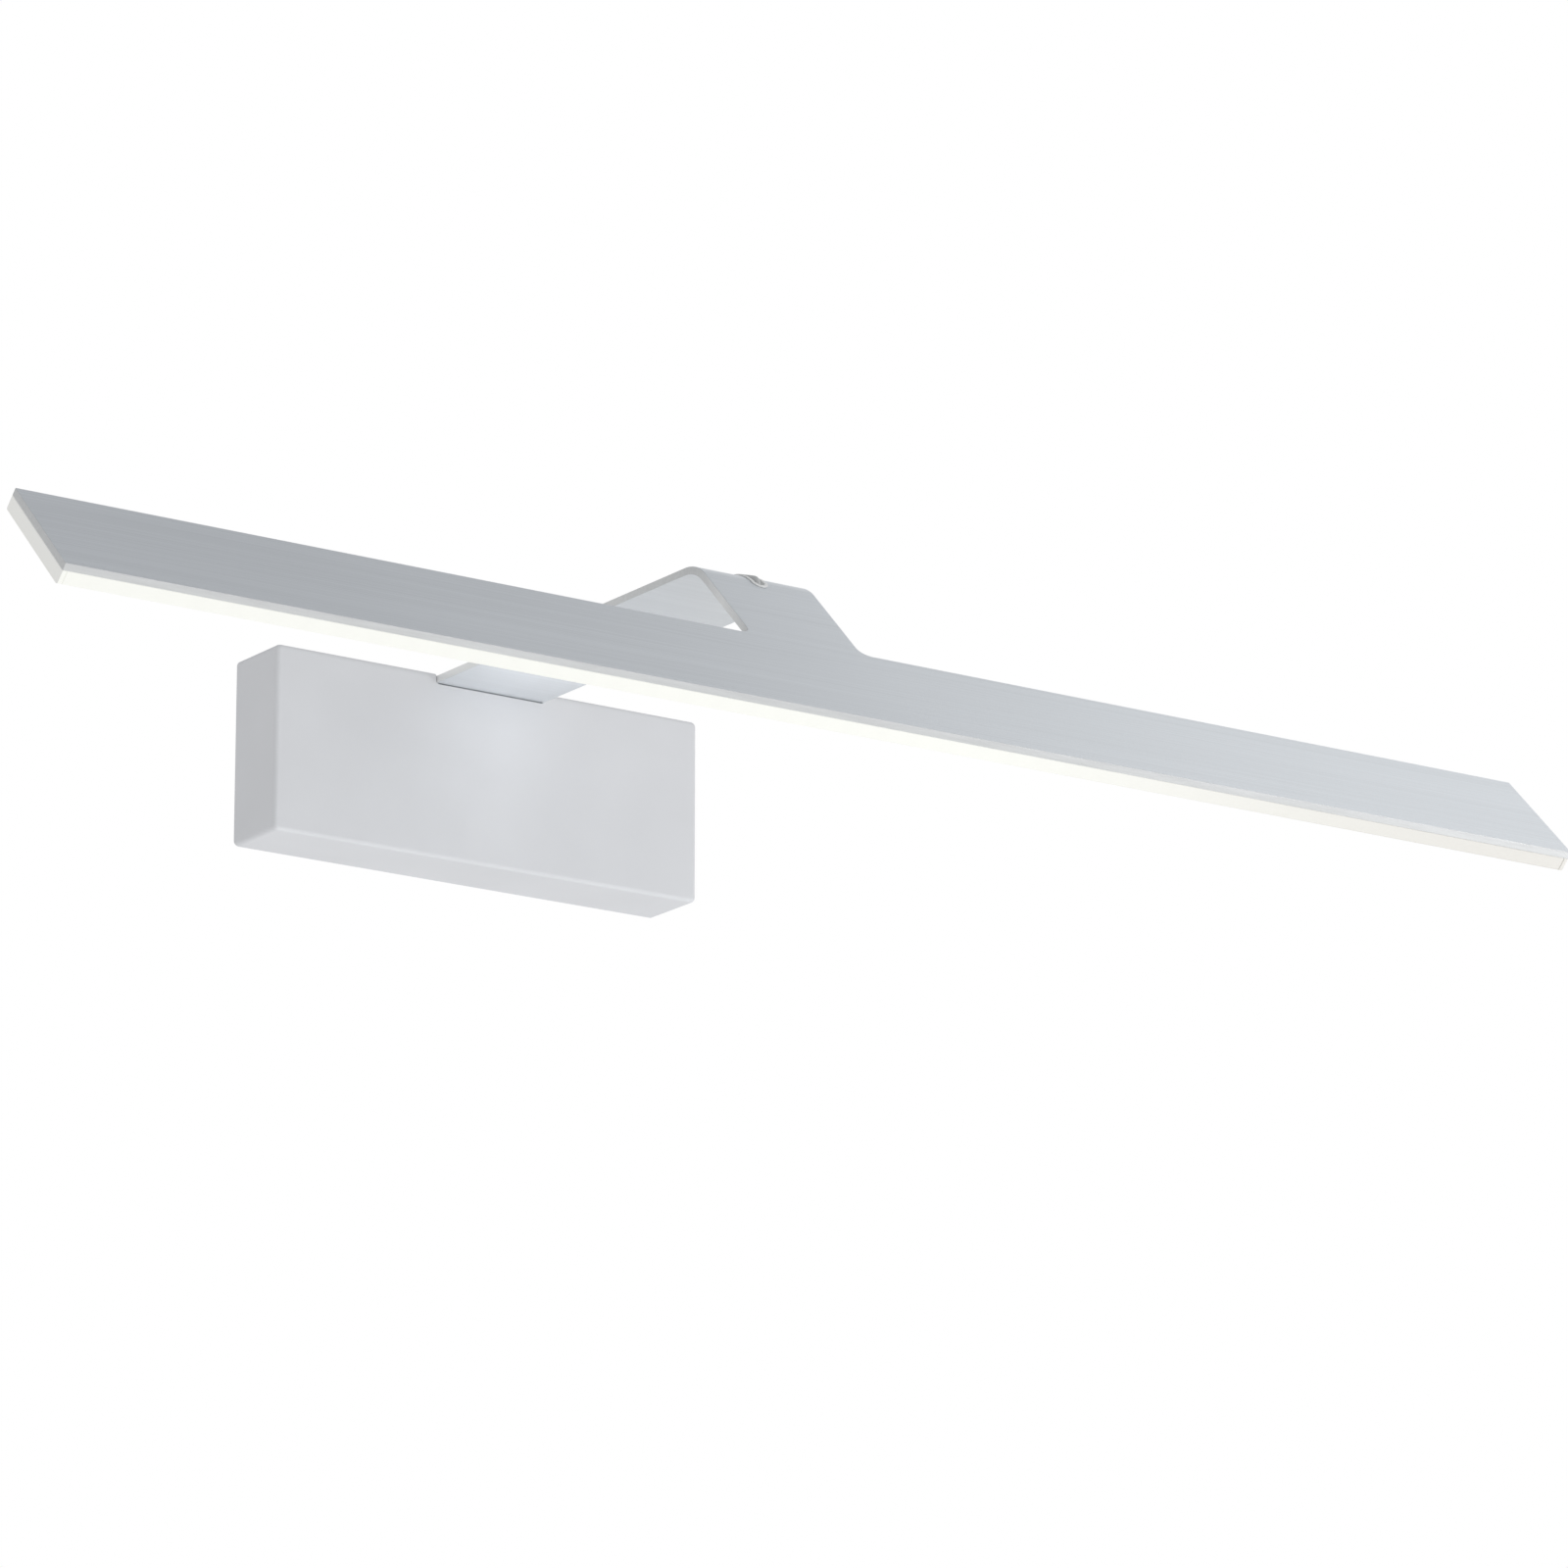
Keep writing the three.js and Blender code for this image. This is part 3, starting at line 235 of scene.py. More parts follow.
# How the finishes vary: where noise mostly keeps, each pattern's share in the shade, the factors that
# darken and lighten a colour, and how far the patterns spread the roughness
NOISE_SHARES = (0.3, 0.7)
BRUSHED_NOISE_SHARES = (0.3, 0.5, 0.7)
ZINC_NOISE_SHARES = (0.25, 0.75)
COAT_PATTERN_SHARES = (0.75, 0.25)
BRUSHED_PATTERN_SHARES = (0.6, 0.25, 0.15)
ZINC_PATTERN_SHARES = (0.4, 0.45, 0.15)
MOULDED_PATTERN_SHARES = (0.6, 0.4)
BOARD_PATTERN_SHARES = (0.6, 0.2)
TRACK_GAP_SHARE = 0.16
COAT_FACTORS = (0.965, 1.03)
BRUSHED_FACTORS = (0.9, 1.0, 1.09)
ZINC_FACTORS = (0.9, 1.08)
MOULDED_FACTORS = (0.95, 1.05)
INSULATION_FACTORS = (0.9, 1.08)
OPAL_FACTORS = (0.985, 1.01)
BETWEEN_LEDS_FACTOR = 0.985
COAT_SPREADS = (0.1, 0.06)
ZINC_SPREADS = (0.08, 0.03)
BRUSHED_SPREAD = 0.18
BOARD_SPREAD = 0.12
PLASTIC_SPREAD = 0.1
INSULATION_ROUGHNESS = 0.35
BOARD_ROUGHNESS = 0.38

# Where the colours change. The cut edge's colour turns by the second share at the first share of the
# way from the plate back to the canopy. This turn is painted light and shade: the edge is lighter
# where it catches light near the root and darker by the bend.
EDGE_PAINTED_LIGHT_AND_SHADE_SHARES = ((0.0, 0.0), (0.09, 0.5), (0.16, 0.0), (0.4, 0.25), (0.8, 1.0))
PHOSPHOR_DEPTH = 4.6 * MM
GLOW_FALL_START = 20 * MM
END_FACE_DEPTH = 0.25 * MM
END_FACE_SHARE = 0.9

# The stage: a floor as far down as a wall light hangs above one, and a card over the lamp
FLOOR_DROP = 1.9
FLOOR_REACH = 12.0
FLOOR_FADE_START = 3.0
FLOOR_FADE_END_SHARE = 0.95
CARD_NEAR = (-0.9, -1.0)
CARD_FAR = (2.0, 1.6)
CARD_HEIGHT = 0.8
CARD_GREY_END = 0.34
CARD_WHITE_END = 0.8

# Lamps, each with its place, what it points at, its two sides, its power in watts and, where it
# isn't the full half turn, the spread of its light in degrees
WORLD_LEVEL = 0.7
LAMPS = {
    "right end": {
        "place": (0.38, -0.42, -0.15), "target": (0.26, -0.235, -0.02), "sides": (0.2, 0.2), "power": 0.28,
    },
    "front": {
        "place": (0.8, -2.1, -0.4), "target": (0, 0, 0), "sides": (1.6, 1.6), "power": 10.6,
    },
    "below": {
        "place": (0.3, -0.3, -1.3), "target": (0, -0.15, 0), "sides": (1.8, 1.8), "power": 7.9,
    },
    "light off the arm": {
        "place": (0.004, -0.12, -0.006), "target": (0.004, -0.025, -0.006), "sides": (0.03, 0.056),
        "power": 0.00018, "spread": 18,
    },
    "light off the wall": {
        "place": (0, -0.09, -0.03), "target": (0, -0.068, 0.034), "sides": (0.034, 0.06),
        "power": 0.0058, "spread": 56,
    },
}

# The camera, with its lens and sensor in millimetres
CAMERA_LENS = 190.3
CAMERA_SENSOR = 36
CAMERA_PLACE = (-1387.9 * MM, -2204.6 * MM, -725.6 * MM)
CAMERA_AZIMUTH = math.radians(34.60)
CAMERA_PITCH = math.radians(15.63)
CAMERA_NEAR = 0.1
CAMERA_FAR = 100


# Folding the blank

def folded(x, run, depth):
    """Carries the blank into its folded form. From the flange's end the path runs straight up, round
    the root fold, straight out along the arm, round the bend and straight down the slope: on a
    straight stretch the place grows along the heading, on an arc it is the centre plus the radius
    less the depth along the normal. The depth is measured inwards from the outer face."""
    x, run, depth = np.broadcast_arrays(x, run, depth)
    stretches = (
        (FLANGE_START, ROOT_START, 0),
        (ROOT_START, ARM_START, ROOT_FOLD),
        (ARM_START, 0, 0),
        (0, BEND_RUN, BEND_RADIUS),
        (BEND_RUN, PLATE_END, 0),
    )
    place = np.array([FLANGE_REAR, CANOPY_TOP - FLANGE_HEIGHT])
    turn = 0.0
    out = np.zeros(x.shape + (3,))
    out[..., 0] = x
    for start, end, radius in stretches:
        here = (run >= start) | (start == FLANGE_START)
        along = run - start
        normal = np.array([math.cos(turn), math.sin(turn)])
        heading = np.array([-normal[1], normal[0]])
        if radius:
            centre = place - radius * normal
            angle = turn + along / radius
            offset = (radius - depth)[..., None] * np.stack([np.cos(angle), np.sin(angle)], -1)
            spot = centre + offset
            turn += (end - start) / radius
            place = centre + radius * np.array([math.cos(turn), math.sin(turn)])
        else:
            spot = place + along[..., None] * heading - depth[..., None] * normal
            place = place + (end - start) * heading
        out[here, 1:] = spot[here]
    return out


def beside_sheet(run, depth):
    """A point in the lamp's middle plane, at a run and a depth of the sheet."""
    return folded(0.0, np.array(run), np.array(depth))


# Meshes

def grid_faces(rows, columns, around=False, closed=False):
    """Quads between neighbouring rows and columns; the last row joins the first where the grid goes
    around, and the last column the first where the profile is closed."""
    i = np.arange(rows if around else rows - 1)[:, None]
    j = np.arange(columns if closed else columns - 1)[None, :]
    i_next = (i + 1) % rows
    j_next = (j + 1) % columns
    corners = [i * columns + j, i_next * columns + j, i_next * columns + j_next, i * columns + j_next]
    return np.stack([c.ravel() for c in np.broadcast_arrays(*corners)], -1)


def mesh_of(name, grids):
    """One mesh from several grids of points, each with its own faces. Points that meet are merged,
    which also closes poles and seams, and the faces of a closed shell are turned outwards."""
    points, faces, count = [], [], 0
    for grid, quads in grids:
        flat = grid.reshape(-1, 3)
        points.append(flat)
        faces.append(quads + count)
        count += len(flat)
    mesh = bpy.data.meshes.new(name)
    mesh.from_pydata(np.concatenate(points).tolist(), [], np.concatenate(faces).tolist())
    shape = bmesh.new()
    shape.from_mesh(mesh)
    bmesh.ops.remove_doubles(shape, verts=shape.verts, dist=MERGE_DISTANCE)
    bmesh.ops.recalc_face_normals(shape, faces=shape.faces)
    shape.to_mesh(mesh)
    shape.free()
    return mesh


def ring_mesh(name, grid):
    """A mesh from a closed profile carried once around."""
    return mesh_of(name, [(grid, grid_faces(*grid.shape[:2], around=True, closed=True))])


def shaded(mesh):
    """Smooth shading, except across edges sharper than the limit."""
    mesh.polygons.foreach_set("use_smooth", np.ones(len(mesh.polygons), bool))
    mesh.set_sharp_from_angle(angle=SMOOTH_LIMIT)
    return mesh


def piece(name, mesh, node, finish):
    """Puts a finished mesh in the place of a CAD node."""
    thing = bpy.data.objects.new(name, shaded(mesh))
    bpy.context.scene.collection.objects.link(thing)
    thing.data.materials.append(finish)
    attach(thing, "root")
    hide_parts(node)
    return thing


def softened(thing, width, steps=ROUNDING_STEPS):
    """Rounds the sharp edges of a piece and lets its large faces keep their own normals."""
    rounding = thing.modifiers.new("edge rounding", "BEVEL")
    rounding.width = width
    rounding.segments = steps
    rounding.limit_method = "ANGLE"
    rounding.angle_limit = SMOOTH_LIMIT
    rounding.miter_outer = "MITER_ARC"
    weighting = thing.modifiers.new("face weight", "WEIGHTED_NORMAL")
    weighting.weight = FACE_WEIGHT
    weighting.keep_sharp = True
    return thing


def dressed(node, finish, rounding):
    """A copy of a CAD node's mesh with its triangles merged into whole faces and its edges rounded."""
    shape = bmesh.new()
    shape.from_mesh(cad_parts[node].data)
    bmesh.ops.remove_doubles(shape, verts=shape.verts, dist=MERGE_DISTANCE)
    if node in PRESSED_ON:
        press_on(shape)
    if node == "canopy_cover":
        fit_cover(shape)
    bmesh.ops.dissolve_limit(shape, angle_limit=FLAT_LIMIT, verts=shape.verts, edges=shape.edges)
    mesh = bpy.data.meshes.new(node + "_mesh")
    shape.to_mesh(mesh)
    shape.free()
    thing = piece(node + "_finished", mesh, node, finish)
    return softened(thing, rounding)


def press_on(shape):
    """Closes most of the clearance under the sloping plate: the rim that the clearance parts from
    the plate moves up to it."""
    normal = Vector((0, -math.sin(SLOPE), math.cos(SLOPE)))
    under_plate = Vector(beside_sheet(PLATE_START, SHEET + CLEARANCE))
    rim = [vertex for vertex in shape.verts if abs((vertex.co - under_plate).dot(normal)) < MERGE_DISTANCE]
    bmesh.ops.translate(shape, verts=rim, vec=normal * CLEARANCE * PRESSED_SHARE)


def fit_cover(shape):
    """Fits the cover to the photograph: its sides, top and bottom move outwards a little, and the
    notch closes round the arm, so that only a fine line stays open."""
    half = ARM_WIDTH / 2 + NOTCH_SIDE_GAP
    depth = SHEET + NOTCH_DROP
    for vertex in shape.verts:
        place = vertex.co
        across = abs(place.x) < half + MERGE_DISTANCE
        above_floor = place.z > CANOPY_TOP - depth - MERGE_DISTANCE
        in_notch = across and above_floor and place.y < FLANGE_REAR + CANOPY_WALL
        if in_notch:
            place.x *= (half - NOTCH_CLOSED_SIDE) / half
        if in_notch and place.z < CANOPY_TOP - SHEET / 2:
            place.z += NOTCH_CLOSED_DROP * (CANOPY_TOP - place.z) / depth
        else:
            place.x += grown(place.x, CANOPY_HALF_WIDTH)
            place.z += grown(place.z, CANOPY_TOP)


def grown(place, half):
    """How far a point of the cover moves outwards: all the way in its wall, and less and less towards
    the inner end of a band beside the wall."""
    share = (abs(place) - half + COVER_BAND) / (COVER_BAND - CANOPY_WALL)
    return math.copysign(COVER_GROWTH * min(max(share, 0.0), 1.0), place)


# The folded sheet

def patch(x_lines, runs):
    """A rectangle of the blank as a grid: x across, run along."""
    run, x = np.meshgrid(runs, x_lines, indexing="ij")
    return folded(x, run, 0.0), grid_faces(len(runs), len(x_lines))


def holed_patch(x_lines, runs, centre, half_length, radius):
    """A rectangle of the blank with an oblong hole. Each point of the rectangle's edge is joined to
    the point of the hole's edge in the same direction from the middle, and rings between the two
    are spaced evenly. In a direction d the oblong's edge lies where its distance from the nearer
    point of its middle line is the radius."""
    low, high = runs[0], runs[-1]
    left, right = x_lines[0], x_lines[-1]
    edge = np.concatenate([
        np.stack([x_lines[:-1], np.full(len(x_lines) - 1, low)], -1),
        np.stack([np.full(len(runs) - 1, right), runs[:-1]], -1),
        np.stack([x_lines[:0:-1], np.full(len(x_lines) - 1, high)], -1),
        np.stack([np.full(len(runs) - 1, left), runs[:0:-1]], -1),
    ])
    away = edge - centre
    away = away / np.linalg.norm(away, axis=1, keepdims=True)
    across, along = np.abs(away[:, 0]), np.abs(away[:, 1])
    to_end = half_length * along + np.sqrt(np.maximum(radius ** 2 - (half_length * across) ** 2, 0))
    to_side = radius / np.maximum(across, NEARLY_ZERO)
    reach = np.where(to_side * along <= half_length, to_side, to_end)
    hole = centre + reach[:, None] * away
    share = np.linspace(0, 1, RING_STEPS + 1)[:, None, None]
    flat = hole + share * (edge - hole)
    rings = folded(flat[..., 0], flat[..., 1], 0.0)
    return rings, grid_faces(RING_STEPS + 1, len(edge), closed=True)


def neck_fillets():
    """The end of the neck, where each row widens to the foot of a quarter circle on either side."""
    turn = np.linspace(0, math.pi / 2, FILLET_STEPS + 1)[:, None]
    half = ARM_WIDTH / 2 + NECK_FILLET * (1 - np.cos(turn))
    run = PLATE_START - NECK_FILLET * (1 - np.sin(turn))
    x = half * np.linspace(-1, 1, ARM_COLUMNS + 1)
    return x, run


def arm_sheet(finish, cut_edge):
    """The outer face of the sheet, laid out flat and folded, then given its thickness inwards. The
    cut edges have a finish of their own."""
    half = ARM_WIDTH / 2
    x_lines = np.linspace(-half, half, ARM_COLUMNS + 1)
    middle = ARM_COLUMNS // 2
    column = x_lines[1] - x_lines[0]
    flange_runs = np.linspace(FLANGE_START, ROOT_START, ARM_COLUMNS // 2)
    stud_run = FLANGE_START + FLANGE_HEIGHT - STUD_DROP
    left_stud, right_stud = (-STUD_SPACING / 2, stud_run), (STUD_SPACING / 2, stud_run)
    ahead = PASSAGE_RUN - PASSAGE_LENGTH / 2 - 2 * column
    behind = PASSAGE_RUN + PASSAGE_LENGTH / 2 + 2 * column
    bend_runs = np.linspace(ahead, behind, ARM_COLUMNS)
    passage = (0, PASSAGE_RUN)
    fillet_x, fillet_run = neck_fillets()
    root_x = fillet_x[-1]
    wing = np.linspace(root_x[-1], HEAD_LENGTH / 2, 2 * ARM_COLUMNS)[1:]
    plate_x = np.concatenate([-wing[::-1], root_x, wing])
    mesh = mesh_of("arm_sheet", [
        holed_patch(x_lines[:middle + 1], flange_runs, left_stud, 0, STUD_HOLE_RADIUS),
        holed_patch(x_lines[middle:], flange_runs, right_stud, 0, STUD_HOLE_RADIUS),
        patch(x_lines, np.linspace(ROOT_START, ARM_START, FOLD_STEPS + 1)),
        patch(x_lines, np.linspace(ARM_START, ahead, 2 * FOLD_STEPS)),
        holed_patch(x_lines, bend_runs, passage, PASSAGE_STRAIGHT_HALF, PASSAGE_WIDTH / 2),
        patch(x_lines, np.linspace(behind, fillet_run[0, 0], FOLD_STEPS)),
        (folded(fillet_x, fillet_run, 0.0), grid_faces(*fillet_x.shape)),
        patch(plate_x, np.linspace(PLATE_START, PLATE_END, FOLD_STEPS)),
    ])
    faces_outward(mesh, Vector((0, 0, 1)))
    sheet = piece("arm_sheet", mesh, "arm_head_plate", finish)
    sheet.data.materials.append(cut_edge)
    thickness = sheet.modifiers.new("sheet thickness", "SOLIDIFY")
    thickness.thickness = SHEET
    thickness.offset = -1
    thickness.use_even_offset = True
    thickness.material_offset_rim = 1
    return softened(sheet, SHEET_ROUNDING, SHEET_ROUNDING_STEPS)


def faces_outward(mesh, up):
    """Turns an open surface over if most of its area faces away from a direction."""
    facing = sum(face.area * face.normal.dot(up) for face in mesh.polygons)
    if facing < 0:
        mesh.flip_normals()


# Profiles and turned pieces

def smooth_step(share):
    """From 0 to 1 with level ends: three times the square less twice the cube."""
    return share * share * (3 - 2 * share)


def rounded(corners, radius):
    """A closed profile with each corner replaced by an arc of the given radius. The arc's middle lies
    on the corner's bisector, and the arc turns from one side's normal to the next side's."""
    corners = np.array(corners, float)
    into = corners - np.roll(corners, 1, 0)
    away = np.roll(corners, -1, 0) - corners
    into /= np.linalg.norm(into, axis=1, keepdims=True)
    away /= np.linalg.norm(away, axis=1, keepdims=True)
    cross = into[:, 0] * away[:, 1] - into[:, 1] * away[:, 0]
    turn = np.arctan2(cross, (into * away).sum(1))
    setback = radius * np.tan(np.abs(turn) / 2)
    side = np.sign(turn)[:, None]
    left_of = np.stack([-into[:, 1], into[:, 0]], -1)
    centre = corners - setback[:, None] * into + radius * side * left_of
    angle = turn[:, None] * np.linspace(0, 1, CORNER_STEPS + 1)[None, :]
    arm = -radius * side * left_of
    cos, sin = np.cos(angle)[..., None], np.sin(angle)[..., None]
    square = np.stack([-arm[:, 1], arm[:, 0]], -1)
    arcs = centre[:, None] + cos * arm[:, None] + sin * square[:, None]
    return arcs.reshape(-1, 2)


def revolved(profile, swell=None):
    """A profile of radius and height turned about the axis of height. The swell, a function of the
    angle, radius and height, moves a point out from the axis and along it."""
    angle = np.linspace(0, 2 * math.pi, ROUND_STEPS, endpoint=False)[:, None]
    radius, height = profile[:, 0][None, :], profile[:, 1][None, :]
    out, up = swell(angle, radius, height) if swell else (0, 0)
    radius, height = radius + out, height + up + 0 * angle
    return np.stack([radius * np.cos(angle), radius * np.sin(angle), height], -1)


def stood(points, foot, axis):
    """Turns a piece made about +Z so that it points along an axis, and puts its foot in place."""
    turn = Vector((0, 0, 1)).rotation_difference(Vector(axis)).to_matrix()
    return points @ np.array(turn).T + np.array(foot)


def cover_grommet(finish):
    """Two lips and a waist turned about the lead."""
    low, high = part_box("cover_grommet")
    lip = (high.x - low.x) / 2
    waist = GROMMET_HOLE_RADIUS - CLEARANCE
    bore = LEAD_RADIUS + CLEARANCE
    wall = CANOPY_WALL
    profile = rounded([
        (bore, -wall - GROMMET_LIP), (lip, -wall - GROMMET_LIP), (lip, -wall), (waist, -wall),
        (waist, 0), (lip, 0), (lip, GROMMET_LIP), (bore, GROMMET_LIP),
    ], GROMMET_LIP * LIP_ROUNDING_SHARE)
    foot = ((low.x + high.x) / 2, (low.y + high.y) / 2, CANOPY_TOP + COVER_GROWTH)
    mesh = ring_mesh("cover_grommet", stood(revolved(profile), foot, (0, 0, 1)))
    return piece("cover_grommet_turned", mesh, "cover_grommet", finish)


def oblong_loop(offset):
    """The passage's outline at an offset outwards, as x across and v along the run: the angle about
    the nearest point of its middle line turns in two half circles at the line's ends, and stays
    the same along the two straight sides between them."""
    half = PASSAGE_STRAIGHT_HALF
    slide = np.linspace(-half, half, SIDE_STEPS + 2)[1:-1]
    arc = np.linspace(0, math.pi, ROUND_STEPS)
    end = np.full(ROUND_STEPS, half)
    turn = np.concatenate([0 * slide, arc, 0 * slide + math.pi, arc + math.pi])[:, None]
    middle = np.concatenate([slide, end, -slide, -end])[:, None]
    radius = PASSAGE_WIDTH / 2 + offset
    return radius * np.cos(turn), radius * np.sin(turn) + middle


def bend_grommet(finish):
    """A profile with a lip on each face of the sheet, carried round the passage and folded with the
    sheet. Over the lead the lip sinks nearly to the sheet's face: a smooth step in the distance
    from the middle plane, on the arm's side above and on the neck's side below."""
    seat, lip = TOUCH, TOUCH + PASSAGE_LIP_THICKNESS
    body, bore, brim = -CLEARANCE, -CLEARANCE - PASSAGE_WALL, PASSAGE_LIP_WIDTH
    profile = rounded([
        (bore, -lip), (brim, -lip), (brim, -seat), (body, -seat),
        (body, SHEET + seat), (brim, SHEET + seat), (brim, SHEET + lip), (bore, SHEET + lip),
    ], PASSAGE_LIP_THICKNESS * LIP_ROUNDING_SHARE)
    offset, depth = profile[:, 0][None, :], profile[:, 1][None, :]
    x, v = oblong_loop(offset)
    depth = depth + 0 * x
    beside = np.clip((np.abs(x) - LEAD_RADIUS - CLEARANCE) / CLEARANCE, 0, 1)
    keep = SUNK_LIP_SHARE + (1 - SUNK_LIP_SHARE) * smooth_step(beside)
    above, below = (depth < 0) & (v < 0), (depth > SHEET) & (v > 0)
    sunk = np.where(above | below, keep, 1.0)
    narrow = np.where(offset > body, body + (offset - body) * sunk, offset)
    x, v = oblong_loop(narrow)
    depth = np.where(depth < 0, depth * sunk, depth)
    depth = np.where(depth > SHEET, SHEET + (depth - SHEET) * sunk, depth)
    mesh = ring_mesh("bend_grommet", folded(x, PASSAGE_RUN + v, depth))
    return piece("bend_grommet_moulded", mesh, "bend_grommet", finish)


# Screws

def window(distance, half_width):
    """1 inside a half width and 0 outside it, with a smooth step between."""
    outer = half_width * (1 + RECESS_EDGE_SHARE / 2)
    return smooth_step(np.clip((outer - np.abs(distance)) / (half_width * RECESS_EDGE_SHARE), 0, 1))


def screw_grid(head_radius, head_height, shank_radius, shank_length, cross):
    """A screw about +Z with its head's seat at height 0. The head's top is a flattened dome, height
    times (1 - (r / R)^p)^(1 / p), less a recess of two crossed slots or one. The thread is a
    triangle wave of the height over the pitch less the angle over a turn."""
    shares = np.linspace(0, 1, DOME_POINTS)
    top_radius = head_radius * np.sin(shares * math.pi / 2)
    top_height = head_height * (1 - (top_radius / head_radius) ** DOME_POWER) ** (1 / DOME_POWER)
    shank_height = np.linspace(0, -shank_length, SHANK_POINTS)
    tip = -shank_length - TIP_LENGTH
    profile = np.concatenate([
        np.stack([top_radius, top_height], -1),
        np.stack([np.full(SHANK_POINTS, shank_radius), shank_height], -1),
        [[shank_radius * TIP_RADIUS_SHARE, tip], [0, tip]],
    ])
    reach = RECESS_REACH_SHARE * head_radius

    def swell(angle, radius, height):
        x, y = radius * np.cos(angle), radius * np.sin(angle)
        slot = window(x, RECESS_HALF_WIDTH) * window(y, reach)
        if cross:
            slot = np.maximum(slot, window(y, RECESS_HALF_WIDTH) * window(x, reach))
        on_top = height > 0
        up = -RECESS_DEPTH_SHARE * head_height * slot * on_top
        phase = (height / THREAD_PITCH - angle / (2 * math.pi)) % 1
        on_shank = (radius == shank_radius) & (height < -THREAD_PITCH)
        out = -THREAD_DEPTH * np.abs(2 * phase - 1) * on_shank
        return out, up

    return revolved(profile, swell)


def screw(node, axis, finish, grub=False, rise=0.0):
    """A screw in the place of a CAD one: its head's radius, its length and its foot come from the
    node's box, and the axis points out of its head. A grub screw has a low head with one slot, and
    a shank as wide. A screw may rise with the face that it holds."""
    low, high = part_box(node)
    along = [abs(a) for a in axis].index(1)
    wide = (along + 1) % 3
    middle = (low + high) / 2
    head_radius = (high[wide] - low[wide]) / 2
    length = high[along] - low[along]
    head_height = min(SCREW_HEAD_HEIGHT * (GRUB_HEAD_SHARE if grub else 1), length)
    shank_radius = head_radius * (GRUB_SHANK_SHARE if grub else SCREW_SHANK_SHARE)
    grid = screw_grid(head_radius, head_height, shank_radius, length - head_height, cross=not grub)
    foot = middle + Vector(axis) * (length / 2 - head_height + rise)
    grid = stood(grid, foot, axis)
    mesh = mesh_of(node, [(grid, grid_faces(*grid.shape[:2], around=True))])
    return piece(node + "_turned", mesh, node, finish)


# The lead

def smooth_path(points, steps):
    """A centripetal Catmull-Rom curve through the points: each stretch between two points is a cubic
    whose end slopes come from the neighbours, weighted by the square roots of the distances."""
    p = np.array(points)
    p = np.concatenate([[2 * p[0] - p[1]], p, [2 * p[-1] - p[-2]]])
    p0, p1, p2, p3 = p[:-3], p[1:-2], p[2:-1], p[3:]
    gap0, gap1, gap2 = (
        np.sqrt(np.linalg.norm(b - a, axis=1, keepdims=True)) for a, b in ((p0, p1), (p1, p2), (p2, p3))
    )
    slope1 = ((p1 - p0) / gap0 - (p2 - p0) / (gap0 + gap1) + (p2 - p1) / gap1) * gap1
    slope2 = ((p2 - p1) / gap1 - (p3 - p1) / (gap1 + gap2) + (p3 - p2) / gap2) * gap1
    t = np.linspace(0, 1, steps, endpoint=False)[None, :, None]
    a, b, s, e = p1[:, None], p2[:, None], slope1[:, None], slope2[:, None]
    cubic = (2 * a - 2 * b + s + e) * t ** 3 + (-3 * a + 3 * b - 2 * s - e) * t ** 2 + s * t + a
    return np.concatenate([cubic.reshape(-1, 3), p[-2:-1]])


def tube(path, radius):
    """Rings about a path. The first side direction is square to the path, and each next one is the
    last with its part along the path taken out, so that the rings don't twist. The end rings
    shrink to a point, which closes the tube."""
    heading = np.gradient(path, axis=0)
    heading /= np.linalg.norm(heading, axis=1, keepdims=True)
    side = np.zeros_like(path)
    square = np.cross(heading[0], TUBE_SIDE_GUIDE)
    for i, ahead in enumerate(heading):
        square = square - ahead * square.dot(ahead)
        square = square / np.linalg.norm(square)
        side[i] = square
    other = np.cross(heading, side)
    turn = np.linspace(0, 2 * math.pi, TUBE_STEPS, endpoint=False)[None, :, None]
    ring = np.cos(turn) * side[:, None] + np.sin(turn) * other[:, None]
    rings = path[:, None] + radius * ring
    first, last = path[0] + 0 * rings[:1], path[-1] + 0 * rings[-1:]
    return np.concatenate([first, rings, last])


